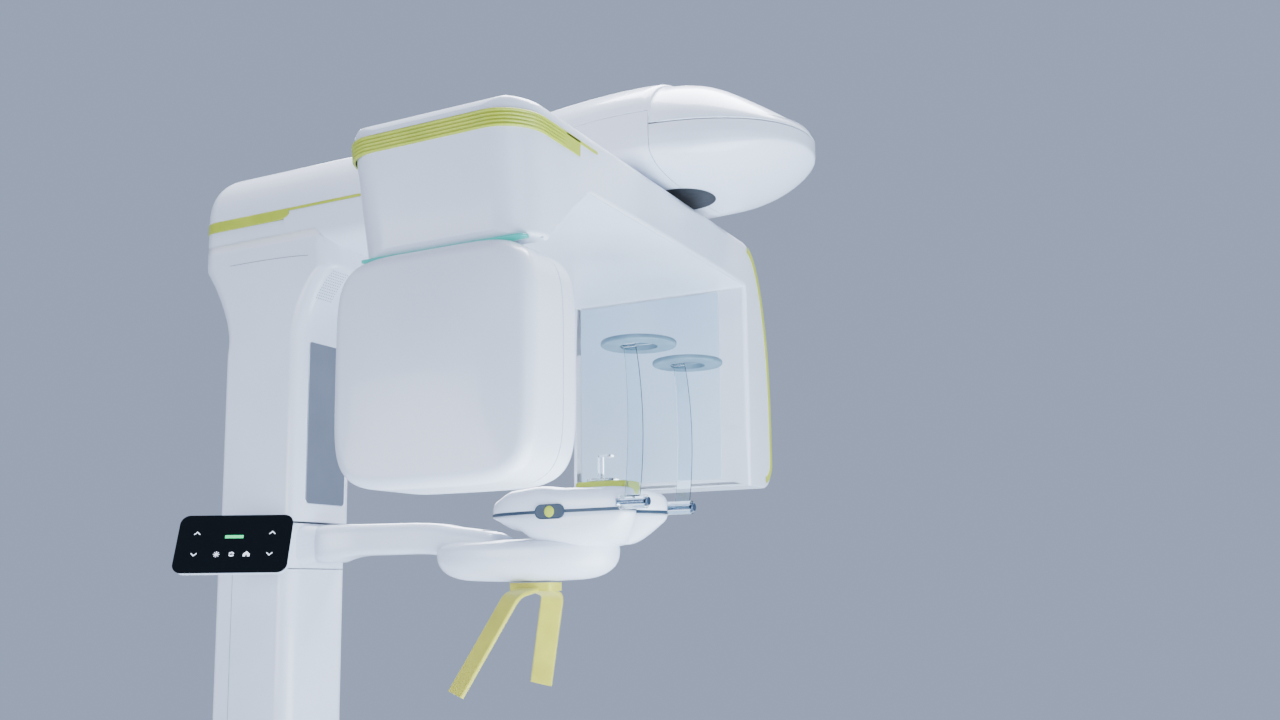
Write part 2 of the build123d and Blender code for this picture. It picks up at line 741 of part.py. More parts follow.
def gantry_plan(inset):
    """Plan outline of the gantry: large corners at the generator end, smaller ones at the detector end."""
    left = -near_reach + inset
    right = far_reach - inset
    front = front_plane + inset
    back_near = rear_near - inset
    back_far = rear_far - inset
    big = near_corner - inset
    small = far_corner - inset
    edges = [
        Line((left + big, front), (right - small, front)),
        RadiusArc((right - small, front), (right, front + small), -small),
        Line((right, front + small), (right, back_far - small)),
        RadiusArc((right, back_far - small), (right - small, back_far), -small),
        Line((right - small, back_far), (left + big, back_near)),
        RadiusArc((left + big, back_near), (left, back_near - big), -big),
        Line((left, back_near - big), (left, front + big)),
        RadiusArc((left, front + big), (left + big, front), -big),
    ]
    return make_face(edges)


def gantry_form(inset):
    """Solid form of the gantry less an inset all over."""
    side = extrude(Plane.XZ.offset(-rear_far) * gantry_profile(inset), gantry_far_width)
    return side & plan_block(inset)


def plan_block(inset):
    """Upright block over the gantry's plan less an inset all round."""
    return Pos(0, 0, far_bottom - 20) * extrude(gantry_plan(inset), beam_top - far_bottom + 40)


def lining_path(grow):
    """The inner line of the gantry, from the near block down the slope, along the beam and down the limb."""
    return [(box_inner - 88, near_block_bottom), (beam_near, beam_bottom + grow), (far_inner + grow, beam_bottom + grow),
            (far_inner + grow, far_bottom)]


window_front = front_plane + 63.0
window_back = rear_far - 25.0
window_bottom = far_bottom + 18.0
window_top = beam_bottom - 6.0
window_depth = 2.0


def gantry_lining():
    """Inner skin of the gantry that closes the outer shell, with the detector window's seat."""
    start, slope, corner, foot = lining_path(0)
    outline = [start, slope, corner, foot, (foot[0] + lining_wall, foot[1]),
               (corner[0] + lining_wall, corner[1] + lining_wall), (slope[0] - 1, slope[1] + lining_wall),
               (start[0] - lining_wall, start[1])]
    face = make_face(Polyline(*outline, close=True))
    edge = gantry_wall + fit_gap
    skin_body = extrude(Plane.XZ.offset(-rear_far) * face, gantry_far_width) & plan_block(edge)
    seat = slab(far_inner - 1, far_inner + window_depth, window_front - fit_gap, window_back + fit_gap,
                window_bottom - fit_gap, window_top + fit_gap)
    return skin_body - seat


def gantry_outer_shell():
    """White outer shell of the gantry: top, sides and both ends, open along its inner line."""
    start, slope, corner, foot = lining_path(0)
    deep = gantry_wall + 1.0
    mouth = [(start[0], start[1] - 1), slope, corner, (foot[0], foot[1] - 1), (foot[0] + deep, foot[1] - 1),
             (corner[0] + deep, corner[1] + deep), (slope[0] - 2, slope[1] + deep), (start[0] - deep, start[1] - 1)]
    cut = extrude(Plane.XZ.offset(-rear_far) * make_face(Polyline(*mouth, close=True)), gantry_far_width)
    cut = cut & plan_block(gantry_wall)
    hub_hole = rod(0, axis_y, beam_top - 20, beam_top + 1, hub_radius + 2)
    hanger_hole = slab(-near_reach + 40, -near_reach + 60, axis_y - frame_half_y - 2, axis_y + frame_half_y + 2,
                       near_block_bottom - 1, near_block_bottom + gantry_wall + 1)
    return gantry_form(0) - gantry_form(gantry_wall) - cut - hub_hole - hanger_hole


band_bottom = beam_top - 44.0
band_height = 27.0
band_end = -425.0
band_proud = 1.5
rib_count = 5


def band_form(grow, sink):
    """Ring round the near block between two offsets of its plan."""
    outer = Pos(0, 0, band_bottom) * extrude(gantry_plan(-grow), band_height)
    inner = Pos(0, 0, band_bottom - 1) * extrude(gantry_plan(sink), band_height + 2)
    keep = slab(-near_reach - 20, band_end, front_plane - 20, rear_far + 20, band_bottom - 2, beam_top)
    return (outer - inner) & keep


def ribbed_band():
    """Lime band with fine ribs round the near block, standing proud of the shell."""
    band = band_form(band_proud, 0)
    pitch = band_height / rib_count
    for i in range(1, rib_count):
        z = band_bottom + i * pitch
        outer = Pos(0, 0, z - 0.9) * extrude(gantry_plan(-band_proud - 1), 1.8)
        band -= outer - Pos(0, 0, z - 1) * extrude(gantry_plan(-0.6), 2)
    return band


box_corner = 74.0
box_edge = 26.0
box_split = box_inner - 58.0
box_wall = 3.5


def box_half(x0, x1, outward, inset):
    """One housing of the generator box, rounded in front view and round its outer rim."""
    front = axis_y - box_width / 2 + inset
    back = axis_y + box_width / 2 - inset
    body = slab(x0, x1, front, back, box_bottom + inset, box_top - inset)
    body = fillet(body.edges().filter_by(Axis.X), box_corner - inset)
    rim = body.faces().sort_by(Axis.X)[0 if outward < 0 else -1].edges()
    return fillet(rim, box_edge - inset)


def generator_outer_housing():
    """Outer housing of the generator box, away from the patient."""
    outer = box_half(-near_reach, box_split - 1, -1, 0)
    return outer - box_half(-near_reach + box_wall, box_split + 20, -1, box_wall) - hanger_slot()


def generator_inner_housing():
    """Inner housing of the generator box, towards the patient, with the beam window's recess."""
    outer = box_half(box_split + 1, box_inner, 1, 0)
    port = slab(box_inner - 1, box_inner + 1, axis_y - 50, axis_y + 50, port_z - 70, port_z + 70)
    return outer - box_half(box_split - 20, box_inner - box_wall, 1, box_wall) - port


def hanger_slot():
    """Opening in the top of the box for the frame's hanger."""
    return slab(-near_reach + 40, -near_reach + 60, axis_y - frame_half_y - 2, axis_y + frame_half_y + 2,
                box_top - 10, box_top + 1)


port_z = (box_bottom + box_top) / 2
tank_half_y = 110.0
tank_half_z = 105.0


def tube_head():
    """Oil-filled X-ray tube head with its collimator body, bolted to the hanger."""
    back = -near_reach + 55 + fit_gap
    front = box_inner - 42
    tank = slab(back, front, axis_y - tank_half_y, axis_y + tank_half_y, port_z - tank_half_z, port_z + tank_half_z)
    tank = fillet(tank.edges().filter_by(Axis.X), 30)
    cone = slab(front - 1, front + 18, axis_y - 45, axis_y + 45, port_z - 55, port_z + 55)
    return tank + cone - slab(front - 20, front + 19, axis_y - 12, axis_y + 12, port_z - 30, port_z + 30)


def collimator_blades():
    """Lead blade plate of the collimator, with its slot, which slides along Y to change the field."""
    front = box_inner - 42 + 18 + fit_gap
    plate = slab(front, front + 4, axis_y - 40, axis_y + 40, port_z - 50, port_z + 50)
    plate -= slab(front - 1, front + 5, axis_y - 3, axis_y + 3, port_z - 30, port_z + 30)
    return plate - slab(front - 1, front + 5, axis_y + 14, axis_y + 34, port_z - 25, port_z + 25)


def generator_light():
    """Light ring in the gap between the near block and the generator box."""
    ring = slab(-near_reach + 16, box_inner - 24, axis_y - 140, axis_y + 140, box_top, near_block_bottom)
    ring = fillet(ring.edges().filter_by(Axis.Z), 20)
    return ring - slab(-near_reach + 26, box_inner - 34, axis_y - 128, axis_y + 128, box_top - 1, near_block_bottom + 1)


def detector_sensor():
    """Flat X-ray detector behind the window."""
    return slab(hanger_x - 25, hanger_x, axis_y - 80, axis_y + 80, window_bottom + 60, window_top - 60)


def detector_window():
    """Light-blue window panel in the inner face of the far limb."""
    plate = slab(far_inner, far_inner + window_depth, window_front, window_back, window_bottom, window_top)
    return fillet(plate.edges().filter_by(Axis.X), 4)


def limb_strip(inset, width):
    """Narrow strip that follows the outer edge of the far limb in front view."""
    top = beam_top - inset
    shoulder = far_inner + 2 - inset
    turn = far_bottom + 130
    foot = far_bottom + 24
    outer = far_reach - inset
    inner = outer - width
    edges = [
        Spline((shoulder, top), (outer, turn), tangents=((1, 0), (0, -1)), tangent_scalars=(0.75, 1.3)),
        Line((outer, turn), (outer, foot)),
        Line((outer, foot), (inner, foot)),
        Line((inner, foot), (inner, turn)),
        Spline((inner, turn), (shoulder - width, top - width), tangents=((0, 1), (-1, 0)),
               tangent_scalars=(1.3, 0.75)),
        Line((shoulder - width, top - width), (shoulder, top)),
    ]
    return make_face(edges)


trim_line = 3.0
trim_proud = 0.8
trim_inset = 14.0


def limb_trim():
    """Thin lime lines down the outer edge of the far limb's two side faces."""
    strip = limb_strip(trim_inset, trim_line)
    keep = slab(far_inner + 20, far_reach, front_plane - 20, rear_far + 20, far_bottom, beam_top - 20)
    line = extrude(Plane.XZ.offset(-rear_far - 5) * strip, gantry_far_width + 10) & keep
    return line & (plan_block(-trim_proud) - plan_block(0))


# ================================================================================================
# Chin support
# ================================================================================================
chin_top = collar_bottom + chin_rise
seam_z = collar_bottom + 94.0
band_thickness = 6.0
support_front = chin_y - 103.0
support_rear = chin_y + 240.0
body_front = chin_y - 24.0
body_rear = chin_y + 376.0
body_half = 82.0
body_bottom = collar_bottom - 37.0
body_top = collar_bottom + 50.0


def lower_body_form():
    """Outer form of the lower body."""
    return round_slab(-body_half, body_half, body_front, body_rear, body_bottom, body_top, 78, 16, 34)


def lower_support_body():
    """Rounded lower body on the end of the chin arm tube."""
    body = lower_body_form()
    socket = slab(-chin_tube_half - fit_gap, chin_tube_half + fit_gap, arm_socket - 1, body_rear + 10,
                  chin_tube_bottom - fit_gap, body_top + 10)
    return body - socket


handle_y = chin_y + 154.0
grip_width = 46.0
grip_thickness = 9.0
grip_spread = 150.0
grip_drop = 205.0
grip_lean = 80.0


def handle_frame():
    """Handle frame under the support: a mount block with two flat legs that splay out and lean to the column."""
    top = body_bottom
    block = slab(-24, 24, handle_y - 48, handle_y + 48, top - 16, top)
    body = fillet(block.edges().filter_by(Axis.Z), 8)
    for s in (-1, 1):
        path = FilletPolyline((s * 14, handle_y, top - 12), (s * 74, handle_y + 6, top - 24),
                              (s * grip_spread, handle_y + grip_lean, top - grip_drop), radius=26)
        start = Plane(origin=path @ 0, x_dir=(0, 1, 0), z_dir=path % 0)
        body += sweep(start * RectangleRounded(grip_width, grip_thickness, 4), path)
    return body


def support_outline(inset):
    """Plan of the upper support body: rounded heel, wider front with a shallow throat hollow."""
    wide = support_half_width - inset
    heel = support_rear - inset
    front = support_front + inset
    waist = 62.0 - inset
    edges = []
    for s in (-1, 1):
        edges.append(Spline((0, heel), (s * waist, heel - 75), (s * wide, front + 90), (s * wide, front + 34),
                            tangents=((s, 0), (0, -1))))
        edges.append(RadiusArc((s * wide, front + 34), (s * (wide - 30), front + 4), s * 30))
        edges.append(Spline((s * (wide - 30), front + 4), (0, front + 14), tangents=((-s, 0.0), (-s, 0.0))))
    return make_face(edges)


def support_side(inset):
    """Side profile of the support body, extruded across."""
    top = chin_top - 12 - inset
    foot = body_top + 4.0 + inset
    edges = [
        Spline((support_rear + 10, seam_z), (support_rear - 80, top - 26), (chin_y + 20, top), (chin_y - 40, top),
               (support_front - 10, seam_z + 6), tangents=((-0.4, 1), (-0.5, -1))),
        Line((support_front - 10, seam_z + 6), (support_front - 10, seam_z - 6)),
        Spline((support_front - 10, seam_z - 6), (chin_y, foot), (support_rear - 90, foot + 14),
               (support_rear + 10, seam_z), tangents=((0.2, -1), (0.6, 1))),
    ]
    face = Plane.YZ * make_face(edges)
    return Pos(-support_half_width - 10, 0, 0) * extrude(face, 2 * support_half_width + 20)


def support_form(inset):
    """Solid form of the upper support body less an inset all over."""
    plan = Pos(0, 0, collar_bottom + 30) * extrude(support_outline(inset), 150)
    return plan & support_side(inset)


def support_shell():
    """Hollow form that the support's two shells are cut from."""
    return support_form(0) - support_form(support_wall)


knob_y = chin_y + 74.0
recess_half_y = 30.0
recess_half_z = 12.0
knob_travel = 16.0


def recess_cut(grow):
    """Space of the oval recess on the support's left side."""
    x0 = -support_half_width - 5
    x1 = -support_half_width + 20 + grow
    oval = slab(x0, x1, knob_y - recess_half_y + recess_half_z, knob_y + recess_half_y - recess_half_z,
                seam_z - recess_half_z - grow, seam_z + recess_half_z + grow)
    for y in (knob_y - recess_half_y + recess_half_z, knob_y + recess_half_y - recess_half_z):
        oval += rod_x(y, seam_z, x0, x1, recess_half_z + grow)
    return oval


def chin_socket():
    """Hole for the bite piece's post, through the pad and the top shell."""
    return rod(0, chin_y + 8, seam_z + 8, chin_top + 20, 6.05)


def support_upper_shell(shell):
    """Upper half of the support body."""
    keep = slab(-200, 200, support_front - 30, support_rear + 30, seam_z + band_thickness / 2, chin_top + 30)
    body = (shell & keep) - recess_cut(2 + fit_gap) - chin_socket()
    for s in (-1, 1):
        body -= pin_lug(s, 0.05)
    return body


def support_lower_shell(shell):
    """Lower half of the support body."""
    keep = slab(-200, 200, support_front - 30, support_rear + 30, collar_bottom, seam_z - band_thickness / 2)
    return (shell & keep) - recess_cut(2 + fit_gap)


def support_band():
    """Dark parting plate between the two shells, with the knob's oval recess moulded on."""
    plan = Pos(0, 0, seam_z - band_thickness / 2) * extrude(support_outline(1.5), band_thickness)
    plate = plan & support_side(1.5)
    cup = (recess_cut(2) & support_form(1.0)) - recess_cut(0)
    return (plate - recess_cut(0)) + cup


def slide_knob():
    """Lime knob that slides in the recess to open and close the temple supports."""
    x1 = -support_half_width + 20 - fit_gap
    knob = rod_x(knob_y - 6, seam_z, -support_half_width + 9, x1, recess_half_z - 1)
    return fillet(knob.edges().filter_by(GeomType.CIRCLE).sort_by(Axis.X)[0], 3)


def chin_pad():
    """Lime chin pad that saddles the top of the support and runs down its front."""
    pad = slab(-34, 34, chin_y - 62, chin_y + 52, chin_top - 30, chin_top)
    pad = fillet(pad.edges().filter_by(Axis.Z), 22)
    pad = fillet(pad.faces().sort_by(Axis.Z)[-1].edges(), 6)
    return pad - support_form(0) - chin_socket()


bite_y = chin_y + 8.0


def bite_piece():
    """Clear bite piece: a post in the pad, a small chin plate and the bite fork above it."""
    post = rod(0, bite_y, seam_z + 20, chin_top + 22, 6.0)
    plate = slab(-22, 22, bite_y - 34, bite_y + 22, chin_top + 8, chin_top + 12)
    plate = fillet(plate.edges().filter_by(Axis.Z), 12)
    stalk = slab(-7, 7, bite_y - 4, bite_y + 2, chin_top + 12, chin_top + 58)
    fork = slab(-11, 11, bite_y - 26, bite_y + 2, chin_top + 54, chin_top + 58)
    fork = fillet(fork.edges().filter_by(Axis.Z), 5)
    return post + plate + stalk + fork


pin_x = 98.0
temple_z = seam_z + 10.0
barrel_radius = 13.0
barrel_front = support_front - 36.0
barrel_back = support_front + 17.0
ring_rise = 280.0
ring_y = chin_y - 131.0
strip_thickness = 3.0
strip_front = support_front - 27.0
strip_back = support_front + 3.0
strip_bulge = 8.0
knuckle_front = ring_y + 6.0
knuckle_back = ring_y + 30.0
ring_tube = 5.0
strip_reach = 8.0
knuckle_radius = 4.5
ring_pin_radius = 2.0


def pin_lug(s, grow):
    """Flat lug behind the hinge barrel, which enters the support's side."""
    x0, x1 = sorted((s * 60, s * (pin_x + 7)))
    return slab(x0 - grow, x1 + grow, barrel_back + 0.5 - grow, barrel_back + 5.5 + grow, temple_z - 6 - grow,
                temple_z + 7 + grow)


def temple_pins():
    """Two steel hinge pins, each on a lug that stands out of a front corner of the support."""
    pins = []
    for s in (-1, 1):
        pin = rod_y(s * pin_x, temple_z, barrel_front - 3, barrel_back + 1, hinge_pin_radius)
        head = rod_y(s * pin_x, temple_z, barrel_front - 5.5, barrel_front - 1.0, 7.5)
        pins.append(pin + head + pin_lug(s, 0))
    return pins


def temple_arm(s):
    """Clear temple arm: hinge barrel with a flat plate, curved like a rib, that rises to the ring."""
    x0 = s * pin_x
    x1 = s * (pin_x + strip_reach)
    foot = temple_z + 6
    middle = temple_z + ring_rise / 2
    pivot = temple_z + ring_rise + ring_tube
    barrel = rod_y(x0, temple_z, barrel_front, barrel_back, barrel_radius)
    edges = [
        ThreePointArc((strip_front, foot), (strip_front - strip_bulge, middle), (knuckle_front, pivot)),
        Line((knuckle_front, pivot), (knuckle_back, pivot)),
        ThreePointArc((knuckle_back, pivot), (strip_back - strip_bulge, middle), (strip_back, foot)),
        Line((strip_back, foot), (strip_front, foot)),
    ]
    plate = Pos(x1 - strip_thickness / 2, 0, 0) * extrude(Plane.YZ * make_face(edges), strip_thickness)
    knuckle = rod_y(x1, pivot, knuckle_front, knuckle_back, knuckle_radius)
    arm = barrel + plate + knuckle
    arm -= rod_y(x1, pivot, knuckle_front - 1, knuckle_back + 1, ring_pin_radius + 0.05)
    return arm - rod_y(x0, temple_z, barrel_front - 1, barrel_back + 1, hinge_bore_radius)


def temple_ring(s):
    """Flat ring pad with the pin that it tilts on, across its hole."""
    x0 = s * (pin_x + strip_reach)
    z0 = temple_z + ring_rise
    disc = rod(x0, ring_y, z0, z0 + 2 * ring_tube, temple_ring_radius)
    disc = fillet(disc.edges().filter_by(GeomType.CIRCLE), ring_tube - 1)
    hole = temple_ring_radius * 0.5
    ring = disc - rod(x0, ring_y, z0 - 1, z0 + 2 * ring_tube + 1, hole)
    return ring + rod_y(x0, z0 + ring_tube, ring_y - hole - 2, ring_y + hole + 2, ring_pin_radius)


# ================================================================================================
# Control panel and stop button
# ================================================================================================
panel_turn = 27.0
panel_tilt = 22.0
panel_x = -177.0
panel_y = -26.0
panel_z = collar_bottom + 51.0
panel_depth = 22.0
glass_thickness = 2.0
panel_corner = 18.0


def panel_plane(forward):
    """Plane of the panel's face, moved along its outward normal."""
    turn = radians(panel_turn)
    tilt = radians(panel_tilt)
    normal = Vector(-cos(turn) * cos(tilt), -sin(turn) * cos(tilt), sin(tilt))
    across = Vector(sin(turn), -cos(turn), 0)
    return Plane(origin=Vector(panel_x, panel_y, panel_z) + normal * forward, x_dir=across, z_dir=normal)


pivot_x = -half_column - 32.0
pivot_y = -14.0
pivot_z = panel_z - 12.0
pivot_radius = 13.0
pin_radius = 6.0
lug_height = 24.0


def panel_lug():
    """Lug on the back of the housing that turns on the bracket's pin."""
    z0 = pivot_z + fit_gap
    body = rod(pivot_x, pivot_y, z0, z0 + lug_height, pivot_radius)
    return body + slab(panel_x + 14, pivot_x, pivot_y - 10, pivot_y + 10, z0, z0 + lug_height)


def panel_housing():
    """White housing of the control panel with its lug."""
    face = panel_plane(-panel_depth) * RectangleRounded(panel_width - 4, panel_height - 4, panel_corner)
    body = extrude(face, panel_depth - glass_thickness)
    outward = Axis((0, 0, 0), tuple(panel_plane(0).z_dir))
    body = fillet(body.faces().sort_by(outward)[0].edges(), 8) + panel_lug()
    return body - rod(pivot_x, pivot_y, pivot_z - 1, pivot_z + lug_height + 5, pin_radius + 0.05)


def panel_glass():
    """Black touch glass over the housing."""
    return extrude(panel_plane(-glass_thickness) * RectangleRounded(panel_width, panel_height, panel_corner + 2),
                   glass_thickness)


def panel_arm():
    """Short bracket from the collar with the upright pin that the panel turns on."""
    foot = pivot_z - 18.0
    arm = slab(pivot_x, -half_column, pivot_y - 12, pivot_y + 12, foot, pivot_z)
    arm += rod(pivot_x, pivot_y, foot, pivot_z, pivot_radius)
    return arm + rod(pivot_x, pivot_y, foot, pivot_z + lug_height + 2, pin_radius)


def emergency_stop():
    """Mushroom stop button on the collar's right side."""
    stem = rod_x(stop_y, stop_z, half_column - cover_wall - 8, half_column + 14, stop_stem)
    head = rod_x(stop_y, stop_z, half_column + 12, half_column + 26, 19)
    return stem + fillet(head.edges().filter_by(GeomType.CIRCLE).sort_by(Axis.X)[-1], 6)


# ================================================================================================
# Files
# ================================================================================================
def write_part(name, body):
    """Write one node; a list becomes a group of separate solids."""
    if isinstance(body, (list, tuple)):
        body = Compound(children=[solid for item in body for solid in item.solids()])
    export_step(body, os.path.join("parts", name + ".step"))


def build():
    """Model every node and write it."""
    os.makedirs("parts", exist_ok=True)
    arm = arm_shell()
    support = support_shell()
    nodes = {
        "base_plate": base_plate(),
        "mast_bolts": mast_bolts(),
        "outer_mast": outer_mast(),
        "base_skirt": base_skirt(),
        "lower_column_cover": lower_column_cover(),
        "column_rear_panel": column_rear_panel(),
        "column_top_cap": column_top_cap(),
        "lower_glide_pads": glide_pads(mast_top - pad_height - 8, True),
        "lift_motor": lift_motor(),
        "actuator_tube": actuator_tube(),
        "lead_screw": lead_screw(),
        "power_inlet": power_inlet(),
        "main_switch": main_switch(),
        "carriage_frame": carriage_frame(),
        "upper_glide_pads": glide_pads(frame_bottom + 4, False),
        "actuator_rod": actuator_rod(),
        "chin_arm_collar": chin_arm_collar(),
        "chin_arm_cover": chin_arm_cover(),
        "carriage_cover": carriage_cover(),
        "mirror": mirror(),
        "arm_lower_shell": arm_lower_shell(arm) + arm_side_strip(arm),
        "arm_trim": arm_trim(arm),
        "arm_top_cover": arm_top_cover(arm),
        "nose_lower_cover": nose_lower_cover(arm),
        "slot_cover": slot_cover(),
        "stage_rails": stage_rails(),
        "stage_plate": stage_plate(),
        "rotation_motor": rotation_motor(),
        "motor_pulley": motor_pulley(),
        "drive_belt": drive_belt(),
        "rotor_hub": rotor_hub(),
        "gantry_frame": gantry_frame(),
        "gantry_outer_shell": gantry_outer_shell(),
        "gantry_lining": gantry_lining(),
        "ribbed_band": ribbed_band(),
        "generator_outer_housing": generator_outer_housing(),
        "generator_inner_housing": generator_inner_housing(),
        "tube_head": tube_head(),
        "collimator_blades": collimator_blades(),
        "generator_light": generator_light(),
        "detector_sensor": detector_sensor(),
        "detector_window": detector_window(),
        "limb_trim": limb_trim(),
        "lower_support_body": lower_support_body(),
        "handle_frame": handle_frame(),
        "support_lower_shell": support_lower_shell(support),
        "support_band": support_band(),
        "support_upper_shell": support_upper_shell(support),
        "slide_knob": slide_knob(),
        "chin_pad": chin_pad(),
        "bite_piece": bite_piece(),
        "temple_pins": temple_pins(),
        "temple_arm_left": temple_arm(-1),
        "temple_arm_right": temple_arm(1),
        "temple_ring_left": temple_ring(-1),
        "temple_ring_right": temple_ring(1),
        "panel_arm": panel_arm(),
        "panel_housing": panel_housing(),
        "panel_glass": panel_glass(),
        "emergency_stop": emergency_stop(),
    }
    for name, body in nodes.items():
        write_part(name, body)


build()
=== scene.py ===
import math

import bmesh
import bpy
from mathutils import Matrix, Vector


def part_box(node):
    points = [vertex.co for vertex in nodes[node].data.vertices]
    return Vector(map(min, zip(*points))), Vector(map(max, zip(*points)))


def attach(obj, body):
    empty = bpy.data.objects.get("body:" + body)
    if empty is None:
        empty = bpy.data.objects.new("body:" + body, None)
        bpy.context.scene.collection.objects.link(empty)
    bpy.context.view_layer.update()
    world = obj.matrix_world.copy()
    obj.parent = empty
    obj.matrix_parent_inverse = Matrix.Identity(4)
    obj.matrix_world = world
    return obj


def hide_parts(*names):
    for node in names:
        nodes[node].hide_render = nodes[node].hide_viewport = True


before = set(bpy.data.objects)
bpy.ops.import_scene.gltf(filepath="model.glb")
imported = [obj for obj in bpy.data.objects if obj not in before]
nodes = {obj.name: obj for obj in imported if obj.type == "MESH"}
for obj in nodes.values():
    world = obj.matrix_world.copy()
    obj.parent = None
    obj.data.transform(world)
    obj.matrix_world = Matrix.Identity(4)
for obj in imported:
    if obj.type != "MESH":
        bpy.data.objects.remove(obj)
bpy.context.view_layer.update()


# ---- Camera ----------------------------
# The view is low, from the patient's side and the left, looking slightly up at the gantry. The lens is
# a normal wide one, shifted up a little so that the head of the machine stays in the frame.
camera_place = (-1.9635, -1.8794, 0.830)
camera_turn = math.radians(-63.1)
camera_rise = math.radians(7.74)
camera_roll = math.radians(-0.64)
lens = bpy.data.cameras.new("studio_camera")
lens.lens = 32.93
lens.sensor_width = 36.0
lens.shift_y = 0.054
camera = bpy.data.objects.new("studio_camera", lens)
bpy.context.scene.collection.objects.link(camera)
camera.matrix_world = (Matrix.Translation(camera_place) @ Matrix.Rotation(camera_turn, 4, "Z")
                       @ Matrix.Rotation(math.pi / 2 + camera_rise, 4, "X")
                       @ Matrix.Rotation(camera_roll, 4, "Z"))
bpy.context.scene.camera = camera


# ---- Studio ----------------------------
# A pale painted floor that fades into a plain blue-grey surround, lit by a large soft box overhead, a
# wide soft fill from the camera's side and a weaker one from the far side.
def linear(code):
    """Linear colour, with alpha, from an sRGB hex code."""
    parts = [int(code[i:i + 2], 16) / 255 for i in (1, 3, 5)]
    return [p / 12.92 if p <= 0.04045 else ((p + 0.055) / 1.055) ** 2.4 for p in parts] + [1.0]


def add(tree, kind, settings=None, links=None):
    """Add one shader node, set its values and sockets, and join its inputs."""
    node = tree.nodes.new(kind)
    for name, value in (settings or {}).items():
        if isinstance(name, int) or name in node.inputs:
            node.inputs[name].default_value = value
        else:
            setattr(node, name, value)
    for name, source in (links or {}).items():
        tree.links.new(source, node.inputs[name])
    return node


def finish(name, colour, roughness, metallic=0.0, **sockets):
    """A material with one Principled shader, whose constant values sit on its own sockets."""
    made = bpy.data.materials.new(name)
    made.use_nodes = True
    made.node_tree.nodes.clear()
    values = {"Base Color": linear(colour), "Roughness": roughness, "Metallic": metallic}
    values.update({key.replace("_", " "): value for key, value in sockets.items()})
    shader = add(made.node_tree, "ShaderNodeBsdfPrincipled", values)
    add(made.node_tree, "ShaderNodeOutputMaterial", {}, {"Surface": shader.outputs["BSDF"]})
    return made, made.node_tree, shader


def blotches(tree, size_mm, detail=2.0, stretch=(1.0, 1.0, 1.0)):
    """Noise over the piece itself, whose spots are about a given size in millimetres."""
    spot = add(tree, "ShaderNodeTexCoord").outputs["Object"]
    scaled = add(tree, "ShaderNodeMapping", {"Scale": stretch}, {"Vector": spot})
    noise = add(tree, "ShaderNodeTexNoise", {"Scale": 1000.0 / size_mm, "Detail": detail},
                {"Vector": scaled.outputs["Vector"]})
    return noise.outputs["Fac"]


def uneven(tree, shader, height, depth_mm):
    """Small relief of a given depth in the surface."""
    bump = add(tree, "ShaderNodeBump", {"Strength": 1.0, "Distance": depth_mm / 1000.0}, {"Height": height})
    tree.links.new(bump.outputs["Normal"], shader.inputs["Normal"])


def two_tones(tree, shader, light, dark, fac):
    """Base colour that drifts between two close tones."""
    ramp = add(tree, "ShaderNodeValToRGB", {}, {"Fac": fac})
    ramp.color_ramp.elements[0].position = 0.35
    ramp.color_ramp.elements[0].color = linear(dark)
    ramp.color_ramp.elements[1].position = 0.65
    ramp.color_ramp.elements[1].color = linear(light)
    tree.links.new(ramp.outputs["Color"], shader.inputs["Base Color"])


def varied_gloss(tree, shader, low, high, fac):
    """Roughness that drifts between two values, as on a handled or wiped surface."""
    spread = add(tree, "ShaderNodeMapRange", {"To Min": low, "To Max": high}, {"Value": fac})
    tree.links.new(spread.outputs["Result"], shader.inputs["Roughness"])


# Painted concrete, matt and faintly mottled near the machine. Its far part glows like the surround, so
# that no horizon shows.
surround_colour = "#A0AFCE"
floor_paint, tree, shader = finish("painted_concrete_floor", "#B6BECC", 0.7)
two_tones(tree, shader, "#B9C1CF", "#B1BAC9", blotches(tree, 400.0))
reach = add(tree, "ShaderNodeVectorMath", {"operation": "LENGTH"},
            {0: add(tree, "ShaderNodeTexCoord").outputs["Object"]})
fade = add(tree, "ShaderNodeMapRange",
           {"From Min": 2.0, "From Max": 5.5, "interpolation_type": "SMOOTHSTEP"},
           {"Value": reach.outputs["Value"]})
far_glow = add(tree, "ShaderNodeEmission", {"Color": linear(surround_colour), "Strength": 1.0})
both = add(tree, "ShaderNodeMixShader", {}, {"Fac": fade.outputs["Result"], 1: shader.outputs["BSDF"],
                                             2: far_glow.outputs["Emission"]})
tree.links.new(both.outputs["Shader"], tree.nodes["Material Output"].inputs["Surface"])
floor_reach = 14.0
floor_mesh = bpy.data.meshes.new("studio_floor")
corners = [(x * floor_reach, y * floor_reach, 0) for x, y in ((-1, -1), (1, -1), (1, 1), (-1, 1))]
floor_mesh.from_pydata(corners, [], [(0, 1, 2, 3)])
floor_mesh.materials.append(floor_paint)
floor = bpy.data.objects.new("studio_floor", floor_mesh)
bpy.context.scene.collection.objects.link(floor)

surround = bpy.data.worlds.new("studio_surround")
surround.use_nodes = True
tree = surround.node_tree
tree.nodes["Background"].inputs["Color"].default_value = linear(surround_colour)
tree.nodes["Background"].inputs["Strength"].default_value = 1.0
bpy.context.scene.world = surround


def soft_box(name, place_m, aim_m, width, power, colour):
    """A large square studio light that points at a place."""
    lamp = bpy.data.lights.new(name, "AREA")
    lamp.shape = "SQUARE"
    lamp.size = width
    lamp.energy = power
    lamp.color = linear(colour)[:3]
    box = bpy.data.objects.new(name, lamp)
    box.location = place_m
    box.rotation_euler = (Vector(aim_m) - Vector(place_m)).to_track_quat("-Z", "Y").to_euler()
    bpy.context.scene.collection.objects.link(box)


